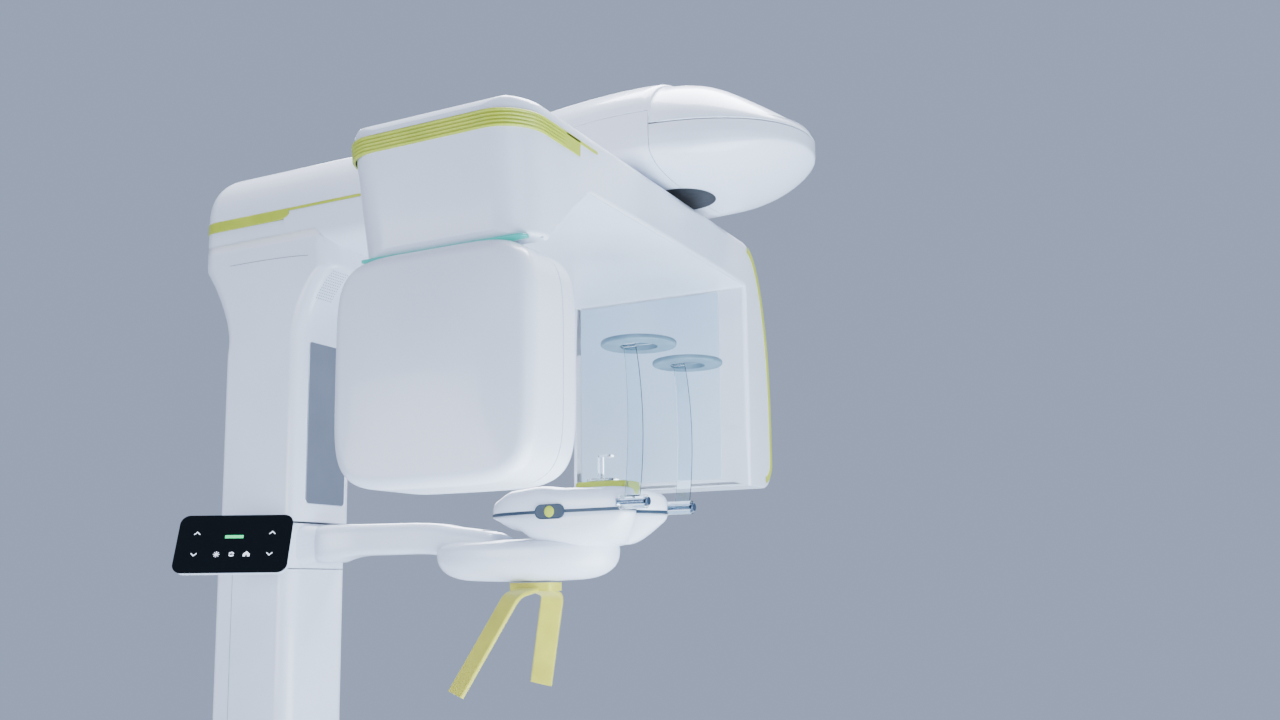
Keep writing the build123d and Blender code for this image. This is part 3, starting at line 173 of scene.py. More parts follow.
soft_box("overhead_soft_box", (0.5, -0.9, 4.4), (0, -0.5, 1.4), 2.6, 600, "#EEF3FF")
soft_box("front_fill", (-3.2, -3.4, 1.4), (0, -0.5, 1.2), 2.4, 60, "#D8E2FF")
soft_box("floor_bounce", (-0.4, -1.5, 0.45), (-0.1, -0.9, 1.6), 1.1, 42, "#DDF0FF")
soft_box("column_wash", (-2.5, 0.8, 1.0), (0, 0, 1.1), 1.2, 30, "#EEF4FF")
soft_box("rear_fill", (2.8, 1.4, 2.6), (0, -0.5, 1.3), 2.0, 160, "#E8F0FF")


# ---- White casings ---------------------
# All the white casings are injection moulded ABS with a glossy lacquer, screwed and clipped to frames
# inside. The eye sees a clean, cool white whose soft reflections break up a little in the orange peel,
# which is drawn 9 mm wide, coarser than the real one of about 2 mm.
white_abs, tree, shader = finish("glossy_white_abs", "#E8ECF5", 0.30, IOR=1.53, Coat_Weight=0.4,
                                 Coat_Roughness=0.07)
two_tones(tree, shader, "#E9EDF6", "#E4E9F3", blotches(tree, 180.0))
uneven(tree, shader, blotches(tree, 9.0), 0.012)

MM = 0.001


def shape(name, points, faces, body, slot, look, stands_for=(), smooth=True):
    """A mesh piece from points in millimetres: cleaned, facing outward, riding on its body."""
    mesh = bpy.data.meshes.new(name)
    mesh.from_pydata([(x * MM, y * MM, z * MM) for x, y, z in points], [], faces)
    work = bmesh.new()
    work.from_mesh(mesh)
    bmesh.ops.remove_doubles(work, verts=work.verts, dist=0.00002)
    bmesh.ops.recalc_face_normals(work, faces=work.faces)
    for face in work.faces:
        face.smooth = smooth
    work.to_mesh(mesh)
    work.free()
    mesh.materials.append(look)
    made = bpy.data.objects.new(name, mesh)
    bpy.context.scene.collection.objects.link(made)
    if smooth:
        made.modifiers.new("even_normals", "WEIGHTED_NORMAL").keep_sharp = True
    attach(made, body)
    if stands_for:
        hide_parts(*stands_for)


def casing(name, body, surface, *hidden):
    """A white ABS piece that stands for CAD nodes."""
    shape(name, *surface, body, "white_plastic", white_abs, hidden)


def skin(rings, close_start=True, close_end=True, around=True):
    """Points and faces of a surface through rings that all have the same number of points."""
    points = [p for ring in rings for p in ring]
    count = len(rings[0])
    faces = []
    for i in range(len(rings) - 1):
        for j in range(count if around else count - 1):
            k = (j + 1) % count
            faces.append((i * count + j, i * count + k, (i + 1) * count + k, (i + 1) * count + j))
    if close_start:
        faces.append(tuple(range(count))[::-1])
    if close_end:
        faces.append(tuple((len(rings) - 1) * count + j for j in range(count)))
    return points, faces


def sheet(rows):
    """Open surface through rows of points."""
    return skin(rows, False, False, around=False)


def joined(*parts):
    """One list of points and faces from several."""
    points, faces = [], []
    for more_points, more_faces in parts:
        shift = len(points)
        points += more_points
        faces += [tuple(i + shift for i in face) for face in more_faces]
    return points, faces


def span(node):
    """Lowest and highest corner of a CAD node, in millimetres."""
    low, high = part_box(node)
    return low / MM, high / MM


def sweep(start, steps, turn=90, first=0):
    """Angles in radians, from a start and through a turn in degrees, in equal steps."""
    return [math.radians(start + turn * i / steps) for i in range(first, steps + 1)]


def rounded_rectangle(x0, x1, y0, y1, radius, steps=8):
    """Outline of a rectangle with round corners, anticlockwise."""
    points = []
    for cx, cy, start in ((x1 - radius, y1 - radius, 0), (x0 + radius, y1 - radius, 90),
                          (x0 + radius, y0 + radius, 180), (x1 - radius, y0 + radius, 270)):
        for a in sweep(start, steps):
            points.append((cx + radius * math.cos(a), cy + radius * math.sin(a)))
    return points


def shrunk(outline, distance):
    """A closed outline moved inward by a distance along its corner normals."""
    count = len(outline)
    moved = []
    for i, (x, y) in enumerate(outline):
        back = outline[i - 1]
        ahead = outline[(i + 1) % count]
        dx, dy = ahead[0] - back[0], ahead[1] - back[1]
        size = math.hypot(dx, dy) or 1.0
        moved.append((x - distance * dy / size, y + distance * dx / size))
    return moved


def superellipse(half_a, half_b, power, count):
    """Outline of a rectangle-like oval about its centre, anticlockwise."""
    points = []
    for i in range(count):
        a = math.tau * i / count
        c, s = math.cos(a), math.sin(a)
        points.append((half_a * math.copysign(abs(c) ** (2 / power), c),
                       half_b * math.copysign(abs(s) ** (2 / power), s)))
    return points


def dress(look, *names):
    """Give a material to CAD nodes that keep their own shape."""
    for name in names:
        nodes[name].data.materials.clear()
        nodes[name].data.materials.append(look)


dress(white_abs, "base_skirt", "chin_arm_collar", "panel_housing", "gantry_lining")


# ---- Lower column cover ----------------
# Two tall ABS mouldings round the steel mast, a front channel and a flat rear panel, which meet in a fine
# upright joint on each flank. Both are screwed to the mast.
front_low, front_high = span("lower_column_cover")
rear_low, rear_high = span("column_rear_panel")
cover_wall = 4.0
half = front_high.x
rear_face = rear_high.y + 8.0
rear_radius = 14.0
front_radius = 36.0


def column_plan(inset):
    """Plan of the lower column: round at the front, squarer at the rear."""
    plan = []
    for sx, y, radius, start in ((1, rear_face, rear_radius, 0), (-1, rear_face, rear_radius, 90),
                                 (-1, front_low.y, front_radius, 180), (1, front_low.y, front_radius, 270)):
        cy = y - radius if start < 180 else y + radius
        r = radius - inset
        for a in sweep(start, 8):
            plan.append((sx * (half - radius) + r * math.cos(a), cy + r * math.sin(a)))
    return plan


rings = [[(x, y, z) for x, y in column_plan(inset)] for inset, z in (
    (cover_wall, front_low.z), (0.0, front_low.z), (0.0, front_low.z + 200), (0.0, front_high.z - 200),
    (0.0, front_high.z), (cover_wall, front_high.z), (cover_wall, front_low.z))]
casing("lower_column_shell", "stand", skin(rings, False, False), "lower_column_cover", "column_rear_panel")

# Joint lines: dark gaps half a millimetre wide, drawn at one millimetre so that they can be seen.
gap_dark, tree, shader = finish("shadow_in_a_gap", "#59616E", 0.7)
joint_width = 1.0
varied_gloss(tree, shader, 0.6, 0.8, blotches(tree, 20.0))


def hairline(path, width, facing):
    """Thin ribbon along a path of points, for a joint line."""
    rings = []
    for x, y, z in path:
        rings.append([(x, y, z), (x + width * facing[0], y + width * facing[1], z + width * facing[2])])
    return sheet(rings)


seam_parts = []
for side in (-1, 1):
    seam = [(side * (half + 0.3), rear_low.y, z) for z in (front_low.z + 2, front_high.z - 2)]
    seam_parts.append(hairline(seam, joint_width, (0, 1, 0)))
shape("lower_column_joints", *joined(*seam_parts), "stand", "white_plastic", gap_dark)


# ---- Upper column cover ----------------
# One tall ABS moulding that rises and falls with the lift. It is straight below and sweeps out in a
# large hollow curve under the arm. The mirror sits in its front and the loudspeaker's holes in the curve.
cover_low, cover_high = span("carriage_cover")
mirror_low, mirror_high = span("mirror")
arm_low, arm_high = span("arm_lower_shell")
column_front = mirror_low.y + 1.0
column_rear = rear_high.y + 6.0
rear_sweep = 175.0
shoulder_radius = 215.0
shoulder_foot = arm_low.z - shoulder_radius
shoulder_top = shoulder_foot + 175.0
arm_side = 97.5


def column_front_at(z):
    """Front face of the cover: plumb, then round and out to the arm, with an upright lip."""
    rise = min(max(0.0, z - shoulder_foot), shoulder_top - shoulder_foot)
    return column_front - shoulder_radius + math.sqrt(shoulder_radius ** 2 - rise ** 2)


def column_rear_at(z):
    """Rear face of the cover: plumb, then a soft hollow out to the arm's rear."""
    t = min(1.0, max(0.0, (z - cover_high.z + rear_sweep) / (rear_sweep + 3.0)))
    return column_rear + (arm_high.y - column_rear) * t ** 1.55


levels = [cover_low.z + 2, cover_low.z + 2, cover_low.z + 4]
levels += [cover_low.z + 4 + i * (shoulder_foot - cover_low.z - 4) / 8 for i in range(1, 9)]
levels += [shoulder_foot + shoulder_radius * math.sin(math.radians(a)) for a in range(4, 55, 3)]
levels += [shoulder_top, shoulder_top + 8, shoulder_top + 20]
levels += [arm_low.z - 8, arm_low.z + 2, arm_low.z + 20, arm_low.z + 45]
rings = []
for number, z in enumerate(levels):
    inset = cover_wall if number == 0 else 0.0
    flare = min(1.0, max(0.0, (z - shoulder_foot) / (arm_low.z - shoulder_foot)))
    half = cover_high.x + (arm_side + 0.3 - cover_high.x) * flare ** 2 - inset
    corner = 30.0 + 20.0 * flare
    plan = rounded_rectangle(-half, half, column_front_at(z) + inset, column_rear_at(z) - inset, corner)
    rear_round = rear_radius + 36.0 * flare
    rear_y = column_rear_at(z) - inset
    for i, a in enumerate(sweep(0, 8)):
        across = half - rear_round + rear_round * math.cos(a)
        plan[i] = (across, rear_y - rear_round + rear_round * math.sin(a))
        plan[17 - i] = (-across, rear_y - rear_round + rear_round * math.sin(a))
    rings.append([(x, y, z) for x, y in plan])
casing("upper_column_cover", "carriage", skin(rings), "carriage_cover")

# Hairline joint between the cover's flank and the arm.
seam_parts = []
for side in (-1, 1):
    reach = side * (arm_side + 0.55)
    path = [(reach, 95.0 - 13.5 * i, arm_low.z - 8.0 - 13.0 * (i / 21) ** 3) for i in range(18)]
    seam_parts.append(hairline(path, joint_width, (0, 0, 1)))
shape("column_joint_lines", *joined(*seam_parts), "carriage", "white_plastic", gap_dark)

# Loudspeaker: a square field of fine holes, drawn as small flat dark dots on the surface: painted shade that
# stands for the dark inside each hole.
hole_radius = 1.3
hole_spacing = 5.6
dot_radius = shoulder_radius - 0.4
points, faces = [], []
for row in range(12):
    for column in range(9):
        angle = math.radians(31.0 + row * 1.7)
        x = -76.0 + column * hole_spacing
        for corner in range(8):
            a = math.tau * corner / 8
            up = angle + hole_radius * math.sin(a) / shoulder_radius
            points.append((x + hole_radius * math.cos(a),
                           column_front - shoulder_radius + dot_radius * math.cos(up),
                           shoulder_foot + dot_radius * math.sin(up)))
        faces.append(tuple(range(len(points) - 8, len(points))))
shape("speaker_holes", points, faces, "carriage", "black_plastic", gap_dark, smooth=False)


# ---- Mirror ----------------------------
# Silvered glass with polished edges, in which the patient checks the position, glued into a recess. It
# reflects the pale room with a slight blue cast.
mirror_glass, tree, shader = finish("silvered_glass", "#DDE3EA", 0.07, 1.0)
two_tones(tree, shader, "#DFE5EC", "#D7DDE5", blotches(tree, 120.0))
plan = rounded_rectangle(mirror_low.x, mirror_high.x, mirror_low.z, mirror_high.z, 10.0)
rings = [[(x, mirror_low.y + depth, z) for x, z in shrunk(plan, inset)]
         for inset, depth in ((0.0, 3.0), (0.0, 1.0), (0.8, 0.2), (2.5, 0.0))]
shape("dressing_mirror", *skin(rings), "carriage", "mirror_glass", mirror_glass, ("mirror",))


# ---- Upper arm and head ----------------
# Two long ABS mouldings, a top cover and an underside, that widen into the rounded head. A lime strip
# is clipped between them, thick round the rear and thin along the arm, and a shadow gap runs round the nose.
top_low, top_high = span("arm_top_cover")
trim_low, trim_high = span("arm_trim")
nose_high = span("nose_lower_cover")[1]
head_half = top_high.x
nose_tip = top_low.y
nose_length = 300.0
nose_centre = nose_tip + nose_length
flare_start = nose_centre + 490.0
nose_seam = arm_low.y
rear_corner = 50.0
corner_y = arm_high.y - rear_corner
thick_end = -60.0
line_end = -620.0


def arm_outline():
    """Plan of the arm and head, from the nose round one side to the rear and back round the other."""
    right = []
    for a in sweep(0, 30):
        right.append((head_half * math.sin(a) ** 0.95, nose_centre - nose_length * math.cos(a) ** 0.95))
    for i in range(1, 21):
        t = i / 20
        ease = t * t * (3 - 2 * t)
        right.append((head_half + (arm_side - head_half) * ease,
                      nose_centre + (flare_start - nose_centre) * t))
    for i in range(1, 13):
        right.append((arm_side, flare_start + (corner_y - flare_start) * i / 12))
    for a in sweep(0, 8, first=1):
        right.append((arm_side - rear_corner + rear_corner * math.cos(a),
                      corner_y + rear_corner * math.sin(a)))
    marks = []
    for (x0, y0), (x1, y1) in zip(right, right[1:]):
        marks.append((x0, y0))
        for place in (nose_seam, line_end, thick_end):
            if y0 < place <= y1:
                x = x0 + (x1 - x0) * (place - y0) / (y1 - y0)
                marks += [(x, place - 0.5), (x, place + 0.5)]
    marks.append(right[-1])
    return marks + [(-x, y) for x, y in reversed(marks[1:])]


def arm_spine(y):
    """Middle line that the arm's surface closes on."""
    return min(max(y, nose_tip + 170.0), arm_high.y - 100.0)


def along(y, marks, smooth=False):
    """Value along Y through (y, value) marks, in straight pieces or in smooth ones."""
    for (y0, v0), (y1, v1) in zip(marks, marks[1:]):
        if y <= y1:
            t = max(0.0, (y - y0) / (y1 - y0))
            return v0 + (v1 - v0) * (t * t * (3 - 2 * t) if smooth else t)
    return marks[-1][1]


def arm_crown(y):
    """Height of the arm's top along its length: level, easing down over the head to the nose."""
    falls = ((-1245, 80), (-1100, 38), (-1040, 25), (-980, 21), (-860, 19.5), (-740, 17), (-620, 12),
             (-450, 2), (196, 0))
    return top_high.z - along(y, falls)


def arm_floor(y):
    """Height of the arm's underside: level, lifting towards the nose."""
    lift_length = 190.0
    t = min(1.0, max(0.0, (nose_tip + lift_length - y) / lift_length))
    return arm_low.z + 40.0 * t ** 2.0


def dome(outline, spine, rim, crown, power, steps=14):
    """Rings from an outline up or down to its middle line, rounded like a superellipse."""
    rings = []
    for i in range(steps + 1):
        a = math.radians(90 * i / steps)
        ring = []
        for x, y in outline:
            p = power(y) if callable(power) else power
            reach = math.cos(a) ** (2 / p) if i < steps else 0.0
            moved = spine(y) + (y - spine(y)) * reach
            ring.append((x * reach, moved, rim(y) + (crown(moved) - rim(y)) * math.sin(a) ** (2 / p)))
        rings.append(ring)
    return rings


def fullness(y):
    """Roundness of the section: square-shouldered along the arm, slanting at the nose."""
    marks = ((nose_tip, 1.42), (-1080, 1.92), (-1000, 2.05), (-860, 2.06), (-620, 2.1), (-420, 2.45))
    return along(y, marks)


def top_rim(y):
    """Lower edge of the top cover: above the trim on the arm, above the shadow gap on the head."""
    return trim_high.z + 0.5 if y > nose_seam else nose_high.z + 2.0


def crown_foot(y):
    """Height where the top cover starts to round over, just above its lower edge."""
    return trim_high.z + 1.5 if y > nose_seam else nose_high.z + 4.0


plan = arm_outline()
rings = [[(x, y, top_rim(y) + 14.0) for x, y in shrunk(plan, 6.0)],
         [(x, y, top_rim(y)) for x, y in shrunk(plan, 5.0)],
         [(x, y, top_rim(y)) for x, y in plan]]
rings += dome(plan, arm_spine, crown_foot, arm_crown, fullness)
casing("arm_top_shell", "carriage", skin(rings, False, False), "arm_top_cover")


def side_rim(y):
    """Top edge of the lower mouldings, under the trim, the thin line, the top cover or the gap."""
    if y > thick_end:
        return trim_low.z - 0.5
    if y > line_end:
        return trim_high.z - 6.5
    return trim_high.z - 0.5 if y > nose_seam else nose_high.z


middle = len(plan) // 2
rear_part = [p for p in plan if p[1] > nose_seam]
nose_part = [p for p in plan[middle:] + plan[:middle] if p[1] < nose_seam]
for name, outline, node in (("arm_underside_shell", rear_part, "arm_lower_shell"),
                            ("nose_underside_shell", nose_part, "nose_lower_cover")):
    rings = [[(x * 0.96, y, side_rim(y)) for x, y in outline], [(x, y, side_rim(y)) for x, y in outline],
             [(x, y, trim_low.z - 22.0) for x, y in outline]]
    rings += dome(outline, arm_spine, lambda y: trim_low.z - 23.0, arm_floor, 3.2)
    casing(name, "carriage", sheet(rings), node)

# Well for the rotor hub in the head's underside: a flat round-ended plate laid on the surface. Its near
# black is partly the dark plate and partly painted shade for the dark of the recess, whose depth is not
# modelled.
black_abs_and_well_shade, tree, shader = finish("matt_black_abs_and_well_shade", "#0B0F14", 0.5)
varied_gloss(tree, shader, 0.42, 0.6, blotches(tree, 12.0))
hub_low, hub_high = span("rotor_hub")
axis_y = (hub_low.y + hub_high.y) / 2
well_radius = 64.0
outline = []
for end_y, start in ((axis_y + 20.0, 0), (axis_y - 155.0, 180)):
    for a in sweep(start, 18, 180):
        outline.append((well_radius * math.cos(a), end_y + well_radius * math.sin(a)))
rings = [[(x, y, arm_low.z - proud) for x, y in (shrunk(outline, inset) if inset else outline)]
         for inset, proud in ((0.0, 0.6), (1.5, 0.9), (4.0, 0.5))]
shape("rotor_well", *skin(rings, close_start=False), "carriage", "black_plastic", black_abs_and_well_shade,
      ("slot_cover",))

# Lime trim: satin through-coloured ABS, clipped into the joint. The thick part ends in a rounded cut.
lime_abs, tree, shader = finish("satin_lime_abs", "#BAC52E", 0.38, IOR=1.53)
two_tones(tree, shader, "#BDC832", "#B2BE2A", blotches(tree, 60.0))
uneven(tree, shader, blotches(tree, 3.0), 0.01)
thick = [p for p in plan if p[1] > thick_end and p[0] > 0]
path = [(thick[0][0], thick_end - 16.0 + 5.0 * i) for i in range(4)]
path += [(x, min(y, arm_high.y)) for x, y in thick[1:]]
path += [(-x, y) for x, y in reversed(path)]
rings = []
for grow, height in ((-3.0, 0.0), (0.6, 0.0), (1.4, 0.12), (1.4, 0.88), (0.6, 1.0), (-3.0, 1.0)):
    ring = []
    for x, y in path:
        cut = min(1.0, max(0.0, (thick_end + 18.0 - y) / 36.0))
        low = trim_low.z + (trim_high.z - 7.0 - trim_low.z) * (1 - math.sqrt(max(0.0, 1 - cut ** 2)))
        out = Vector((x, y - corner_y)).normalized() if y > corner_y else Vector((math.copysign(1, x), 0))
        ring.append((x + grow * out.x, y + grow * out.y, low + (trim_high.z - low) * height))
    rings.append(ring)
shape("arm_trim_band", *sheet(rings), "carriage", "lime_plastic", lime_abs,
      ("arm_trim",))
parts = []
for side in (-1, 1):
    flank = [p for p in plan if line_end < p[1] < thick_end + 10.0 and p[0] * side > 0]
    flank.sort(key=lambda p: p[1])
    rings = [[(x + side * grow, y, trim_high.z - drop) for x, y in flank] for grow, drop in
             ((-3.0, 6.0), (0.4, 6.0), (0.8, 4.5), (0.8, 1.5), (0.4, 0.0), (-3.0, 0.0))]
    parts.append(sheet(rings))
shape("arm_trim_lines", *joined(*parts), "carriage", "lime_plastic", lime_abs)


# ---- Rotating gantry -------------------
# A large ABS shell in the form of a U: a near block above the generator, a cross beam and a far limb with
# the detector. It is moulded in one with soft edges and hangs from the rotor hub under the head.
shell_low, shell_high = span("gantry_outer_shell")
window_low, window_high = span("detector_window")
inner_low, inner_high = span("generator_inner_housing")
near_x = shell_low.x
front_y = shell_low.y
beam_foot = shell_high.z - 98.0
block_foot = shell_high.z - 208.0
limb_face = window_low.x
near_rear = 2 * axis_y - front_y
taper_start = near_x + 62.0
taper_end = shell_high.x - 34.0
beam_end = 273.0
upright = 130.0
limb_round = 58.0
shell_round = 16.0


def rear_at(x):
    """Rear face of the gantry, which widens towards the detector."""
    return near_rear + (shell_high.y - near_rear) * (x - taper_start) / (taper_end - taper_start)


def shoulder(t):
    """Outer line of the far shoulder, from the beam's top to the upright of the limb."""
    a, d = (beam_end, shell_high.z), (shell_high.x, shell_low.z + upright)
    b, c = (a[0] + 92.0, a[1]), (d[0], d[1] + 190.0)
    s = 1 - t
    return tuple(s ** 3 * a[i] + 3 * s * s * t * b[i] + 3 * s * t * t * c[i] + t ** 3 * d[i] for i in (0, 1))


def section(outer, inner, inset=0.0, top_round=shell_round, low_round=9.0, draft=0.0):
    """Rounded rectangle across the gantry between a point on its outer line and one on its inner line."""
    ox, oz = outer
    ix, iz = inner
    depth = math.hypot(ox - ix, oz - iz)
    ux, uz = (ox - ix) / depth, (oz - iz) / depth
    front = front_y + inset
    rear = rear_at((ox + ix) / 2) - inset
    ring = []
    for cy, cd, radius, start in ((front + top_round, depth - top_round, top_round, 270),
                                  (front + low_round, low_round, low_round, 180),
                                  (rear - draft - low_round, low_round, low_round, 90),
                                  (rear - top_round, depth - top_round, top_round, 0)):
        for a in sweep(start, 6, -90):
            y = cy + radius * math.cos(a)
            d = cd - radius * math.sin(a)
            ring.append((ix + ux * d, y, iz + uz * d))
    return ring


# The near block leans in towards its foot, most at its end, and its rear face is drafted.
end_corner = 66.0
end_lean = 20.0
end_proud = 6.0
foot_draft = 16.0
block_step = 110.0


def lean_at(x):
    """How much further in the block's foot lies than its top."""
    return max(0.0, end_lean * (1 - (x - near_x) / 160.0))


near_rings = []
for a in sweep(0, 9):
    x = near_x + end_corner * (1 - math.cos(a))
    drop = shell_round * max(0.0, 1 - (x - near_x) / shell_round) ** 2
    near_rings.append(section((x - end_proud, shell_high.z - drop),
                              (x + lean_at(x), block_foot + drop * 0.7),
                              end_corner * (1 - math.sin(a)), draft=foot_draft))
beam_feet = [(inner_low.x - 30.0, block_foot), (-480.0, block_foot + 39.0), (-430.0, beam_foot - 30.0),
             (-404.0, beam_foot - 8.0)]
beam_feet += [(x, beam_foot) for x in (-385.0, -340.0, -200.0, 0.0, 150.0)]
for x, foot in beam_feet:
    if x > near_x + end_corner:
        draft = foot_draft * max(0.0, (beam_foot - foot) / block_step)
        near_rings.append(section((x, shell_high.z), (x + lean_at(x), foot), draft=draft))
limb_rings = [section((beam_end, shell_high.z), (limb_face - 12, beam_foot))]
limb_start = beam_foot - 2.0
for i in range(1, 15):
    t = i / 14
    ox, oz = shoulder(t)
    down = limb_start - (limb_start - (shell_low.z + upright)) * max(0.0, (t - 0.12) / 0.88) ** 1.15
    limb_rings.append(section((ox, oz), (limb_face, min(down, limb_start))))
for a in sweep(0, 8, first=1):
    z = shell_low.z + limb_round * (1 - math.sin(a))
    ox = shell_high.x - limb_round * (1 - math.cos(a))
    limb_rings.append(section((ox, z), (limb_face, z), low_round=6.0))
casing("gantry_shell", "gantry", skin(near_rings + limb_rings), "gantry_outer_shell")

# Detector window: a flat panel of pale blue polycarbonate, transparent to X-rays, glued flush in the limb.
window_blue, tree, shader = finish("pale_blue_polycarbonate", "#B3C8D8", 0.32, IOR=1.58)
two_tones(tree, shader, "#B6CAD9", "#ADC3D4", blotches(tree, 200.0))
rings = [[(window_low.x - out, y, z) for y, z in
          shrunk(rounded_rectangle(window_low.y, window_high.y, window_low.z, window_high.z, 5.0), inset)]
         for inset, out in ((0.0, -1.0), (0.0, 0.9), (0.7, 1.4), (2.0, 1.5))]
shape("detector_window_panel", *skin(rings), "gantry", "window_plastic", window_blue, ("detector_window",))


# ---- Ribbed band -----------------------
# A soft lime band with five fine ribs that wraps the near block, moulded in ABS and bonded into a groove.
# It ends in a plain flat, a step and a thin tail on each long side.
band_low, band_high = span("ribbed_band")
band_low.z -= 5.0
band_high.z -= 5.0
band_end = band_high.x


def block_path(stop_x, proud, z):
    """Line round the near block at a height and a distance from its shell, from the front to the rear."""
    end_x = near_x - end_proud + (end_proud + end_lean) * (shell_high.z - shell_round - z) / 181.0
    path = [(stop_x + (end_x + end_corner - stop_x) * i / 10, front_y - proud) for i in range(10)]
    for a in sweep(0, 16):
        r = end_corner + proud
        path.append((end_x + end_corner - r * math.sin(a), front_y + end_corner - r * math.cos(a)))
    for a in sweep(0, 16, first=1):
        path.append((end_x + end_corner - r * math.cos(a), near_rear - end_corner + r * math.sin(a)))
    for i in range(1, 11):
        x = end_x + end_corner + (stop_x - end_x - end_corner) * i / 10
        path.append((x, rear_at(x) + proud))
    return path


def ribbon(stop_x, low, high, profile, flat_from=None):
    """Band round the near block through a profile of (height share, proud) pairs."""
    rings = []
    for share, proud in profile:
        ring = []
        z = low + (high - low) * share
        for (x, y), flat in zip(block_path(stop_x, proud, z), block_path(stop_x, 1.2, z)):
            if flat_from is not None and x > flat_from and 0.0 < share < 1.0:
                x, y = flat
            ring.append((x, y, z))
        rings.append(ring)
    return sheet(rings)


rib_profile = [(0.0, -2.0), (0.0, 0.9)]
for i in range(5):
    for share, proud in ((0.08, 0.9), (0.3, 2.2), (0.5, 2.5), (0.7, 2.2), (0.92, 0.9)):
        rib_profile.append(((i + share) / 5, proud))
rib_profile += [(1.0, 0.9), (1.0, -2.0)]
tail_profile = [(0.0, -2.0), (0.0, 0.8), (0.2, 1.2), (0.8, 1.2), (1.0, 0.8), (1.0, -2.0)]
shape("ribbed_band_round_block",
      *joined(ribbon(band_end, band_low.z, band_high.z, rib_profile, band_end - 45.0),
              ribbon(band_end + 56.0, band_high.z - 5.5, band_high.z, tail_profile)),
      "gantry", "lime_plastic", lime_abs, ("ribbed_band",))

# Lime line down the limb's outer edge: a thin ABS inlay on both sides.
parts = []
for side in (-1, 1):
    edge_line = [shoulder(i / 20) for i in range(1, 21)]
    edge_line += [(shell_high.x, shell_low.z + limb_round + (upright - limb_round) * (1 - i / 4))
                  for i in range(1, 5)]
    for a in sweep(10, 7, 70):
        edge_line.append((shell_high.x - limb_round * (1 - math.cos(a)),
                          shell_low.z + limb_round * (1 - math.sin(a))))
    inward = []
    for i, (x, z) in enumerate(edge_line):
        x1, z1 = edge_line[max(0, i - 1)]
        x2, z2 = edge_line[min(len(edge_line) - 1, i + 1)]
        size = math.hypot(x2 - x1, z2 - z1)
        inward.append(((z2 - z1) / size, -(x2 - x1) / size))
    rings = []
    for depth, lift in ((9.5, -0.5), (9.5, 1.0), (12.0, 1.4), (22.0, 1.4), (24.0, 1.0), (24.0, -0.5)):
        ring = []
        for (x, z), (nx, nz) in zip(edge_line, inward):
            top = max(0.0, shell_round - depth)
            curve = shell_round - math.sqrt(max(0.0, shell_round ** 2 - top * top))
            face = front_y + curve - lift if side < 0 else rear_at(x) - curve + lift
            ring.append((x + nx * depth, face, z + nz * depth))
        rings.append(ring)
    parts.append(sheet(rings))
shape("limb_trim_lines", *joined(*parts), "gantry", "lime_plastic", lime_abs, ("limb_trim",))


# ---- Generator box ---------------------
# Two deep ABS mouldings that meet in a fine joint round the X-ray tube: pillow-like faces, very round
# corners. They hang from the gantry frame under the near block.
outer_low, outer_high = span("generator_outer_housing")
box_rise = 2.5
box_centre = ((inner_low.y + inner_high.y) / 2, (inner_low.z + inner_high.z) / 2 + box_rise)
box_half = ((inner_high.y - inner_low.y) / 2, (inner_high.z - inner_low.z) / 2 + box_rise)


def pillow(x_joint, x_face, edge_round, bulge):
    """Half of the box, from its joint to its face: straight, rounded over and slightly domed."""
    sign = -1 if x_face < x_joint else 1
    outline = superellipse(box_half[0], box_half[1], 5.2, 96)
    steps = [(6.0, x_joint + sign * 4.0), (3.0, x_joint), (0.6, x_joint), (0.0, x_joint + sign * 0.8)]
    for a in sweep(0, 8):
        steps.append((edge_round * (1 - math.cos(a)),
                      x_face - sign * (bulge + edge_round * (1 - math.sin(a)))))
    placed = []
    for inset, x in steps:
        placed.append([(x, box_centre[0] + y, box_centre[1] + z) for y, z in shrunk(outline, inset)])
    last = shrunk(outline, edge_round)
    for scale in (0.93, 0.84, 0.72, 0.58, 0.42, 0.26, 0.12, 0.03):
        x = x_face - sign * bulge * scale ** 2.2
        placed.append([(x, box_centre[0] + y * scale, box_centre[1] + z * scale) for y, z in last])
    return skin(placed, close_start=False)


for name, node, joint_x, face_x, edge_round, bulge in (
        ("generator_outer_pillow", "generator_outer_housing", outer_high.x, outer_low.x, 24.0, 7.0),
        ("generator_inner_pillow", "generator_inner_housing", inner_low.x, inner_high.x, 26.0, 3.0)):
    casing(name, "gantry", pillow(joint_x, face_x, edge_round, bulge), node)

# Beam port: a thin grey polycarbonate plate over the collimator, flush in the face towards the patient.
port_grey, tree, shader = finish("grey_polycarbonate", "#8E99A6", 0.4, IOR=1.58)
varied_gloss(tree, shader, 0.34, 0.46, blotches(tree, 30.0))
rings = [[(inner_high.x - 2.6 + out, box_centre[0] + y, box_centre[1] + z) for y, z in
          shrunk(rounded_rectangle(-50.0, 50.0, -70.0, 70.0, 10.0), inset)]
         for inset, out in ((0.0, 0.0), (0.0, 2.2), (0.6, 2.6), (2.0, 2.6))]
shape("beam_port_plate", *skin(rings), "gantry", "grey_plastic", port_grey)

# Light ring: teal light-guide acrylic lit from inside, in the gap above the box.
teal_light, tree, shader = finish("lit_teal_acrylic", "#2E9C98", 0.3, IOR=1.49, Emission_Strength=0.55,
                                  Emission_Color=linear("#35C7B6"))
two_tones(tree, shader, "#35A8A2", "#27908D", blotches(tree, 90.0))
light_low, light_high = span("generator_light")
outline = rounded_rectangle(near_x + 26.0, inner_low.x - 50.0, front_y + 13.0, near_rear - 26.0, 10.0, 12)
rings = [[(x, y, z) for x, y in shrunk(outline, inset)] for inset, z in
         ((8.0, light_low.z), (0.0, light_low.z + 2.5), (0.0, light_high.z - 0.5), (8.0, light_high.z))]
shape("generator_light_ring", *skin(rings), "gantry", "light_plastic", teal_light, ("generator_light",))


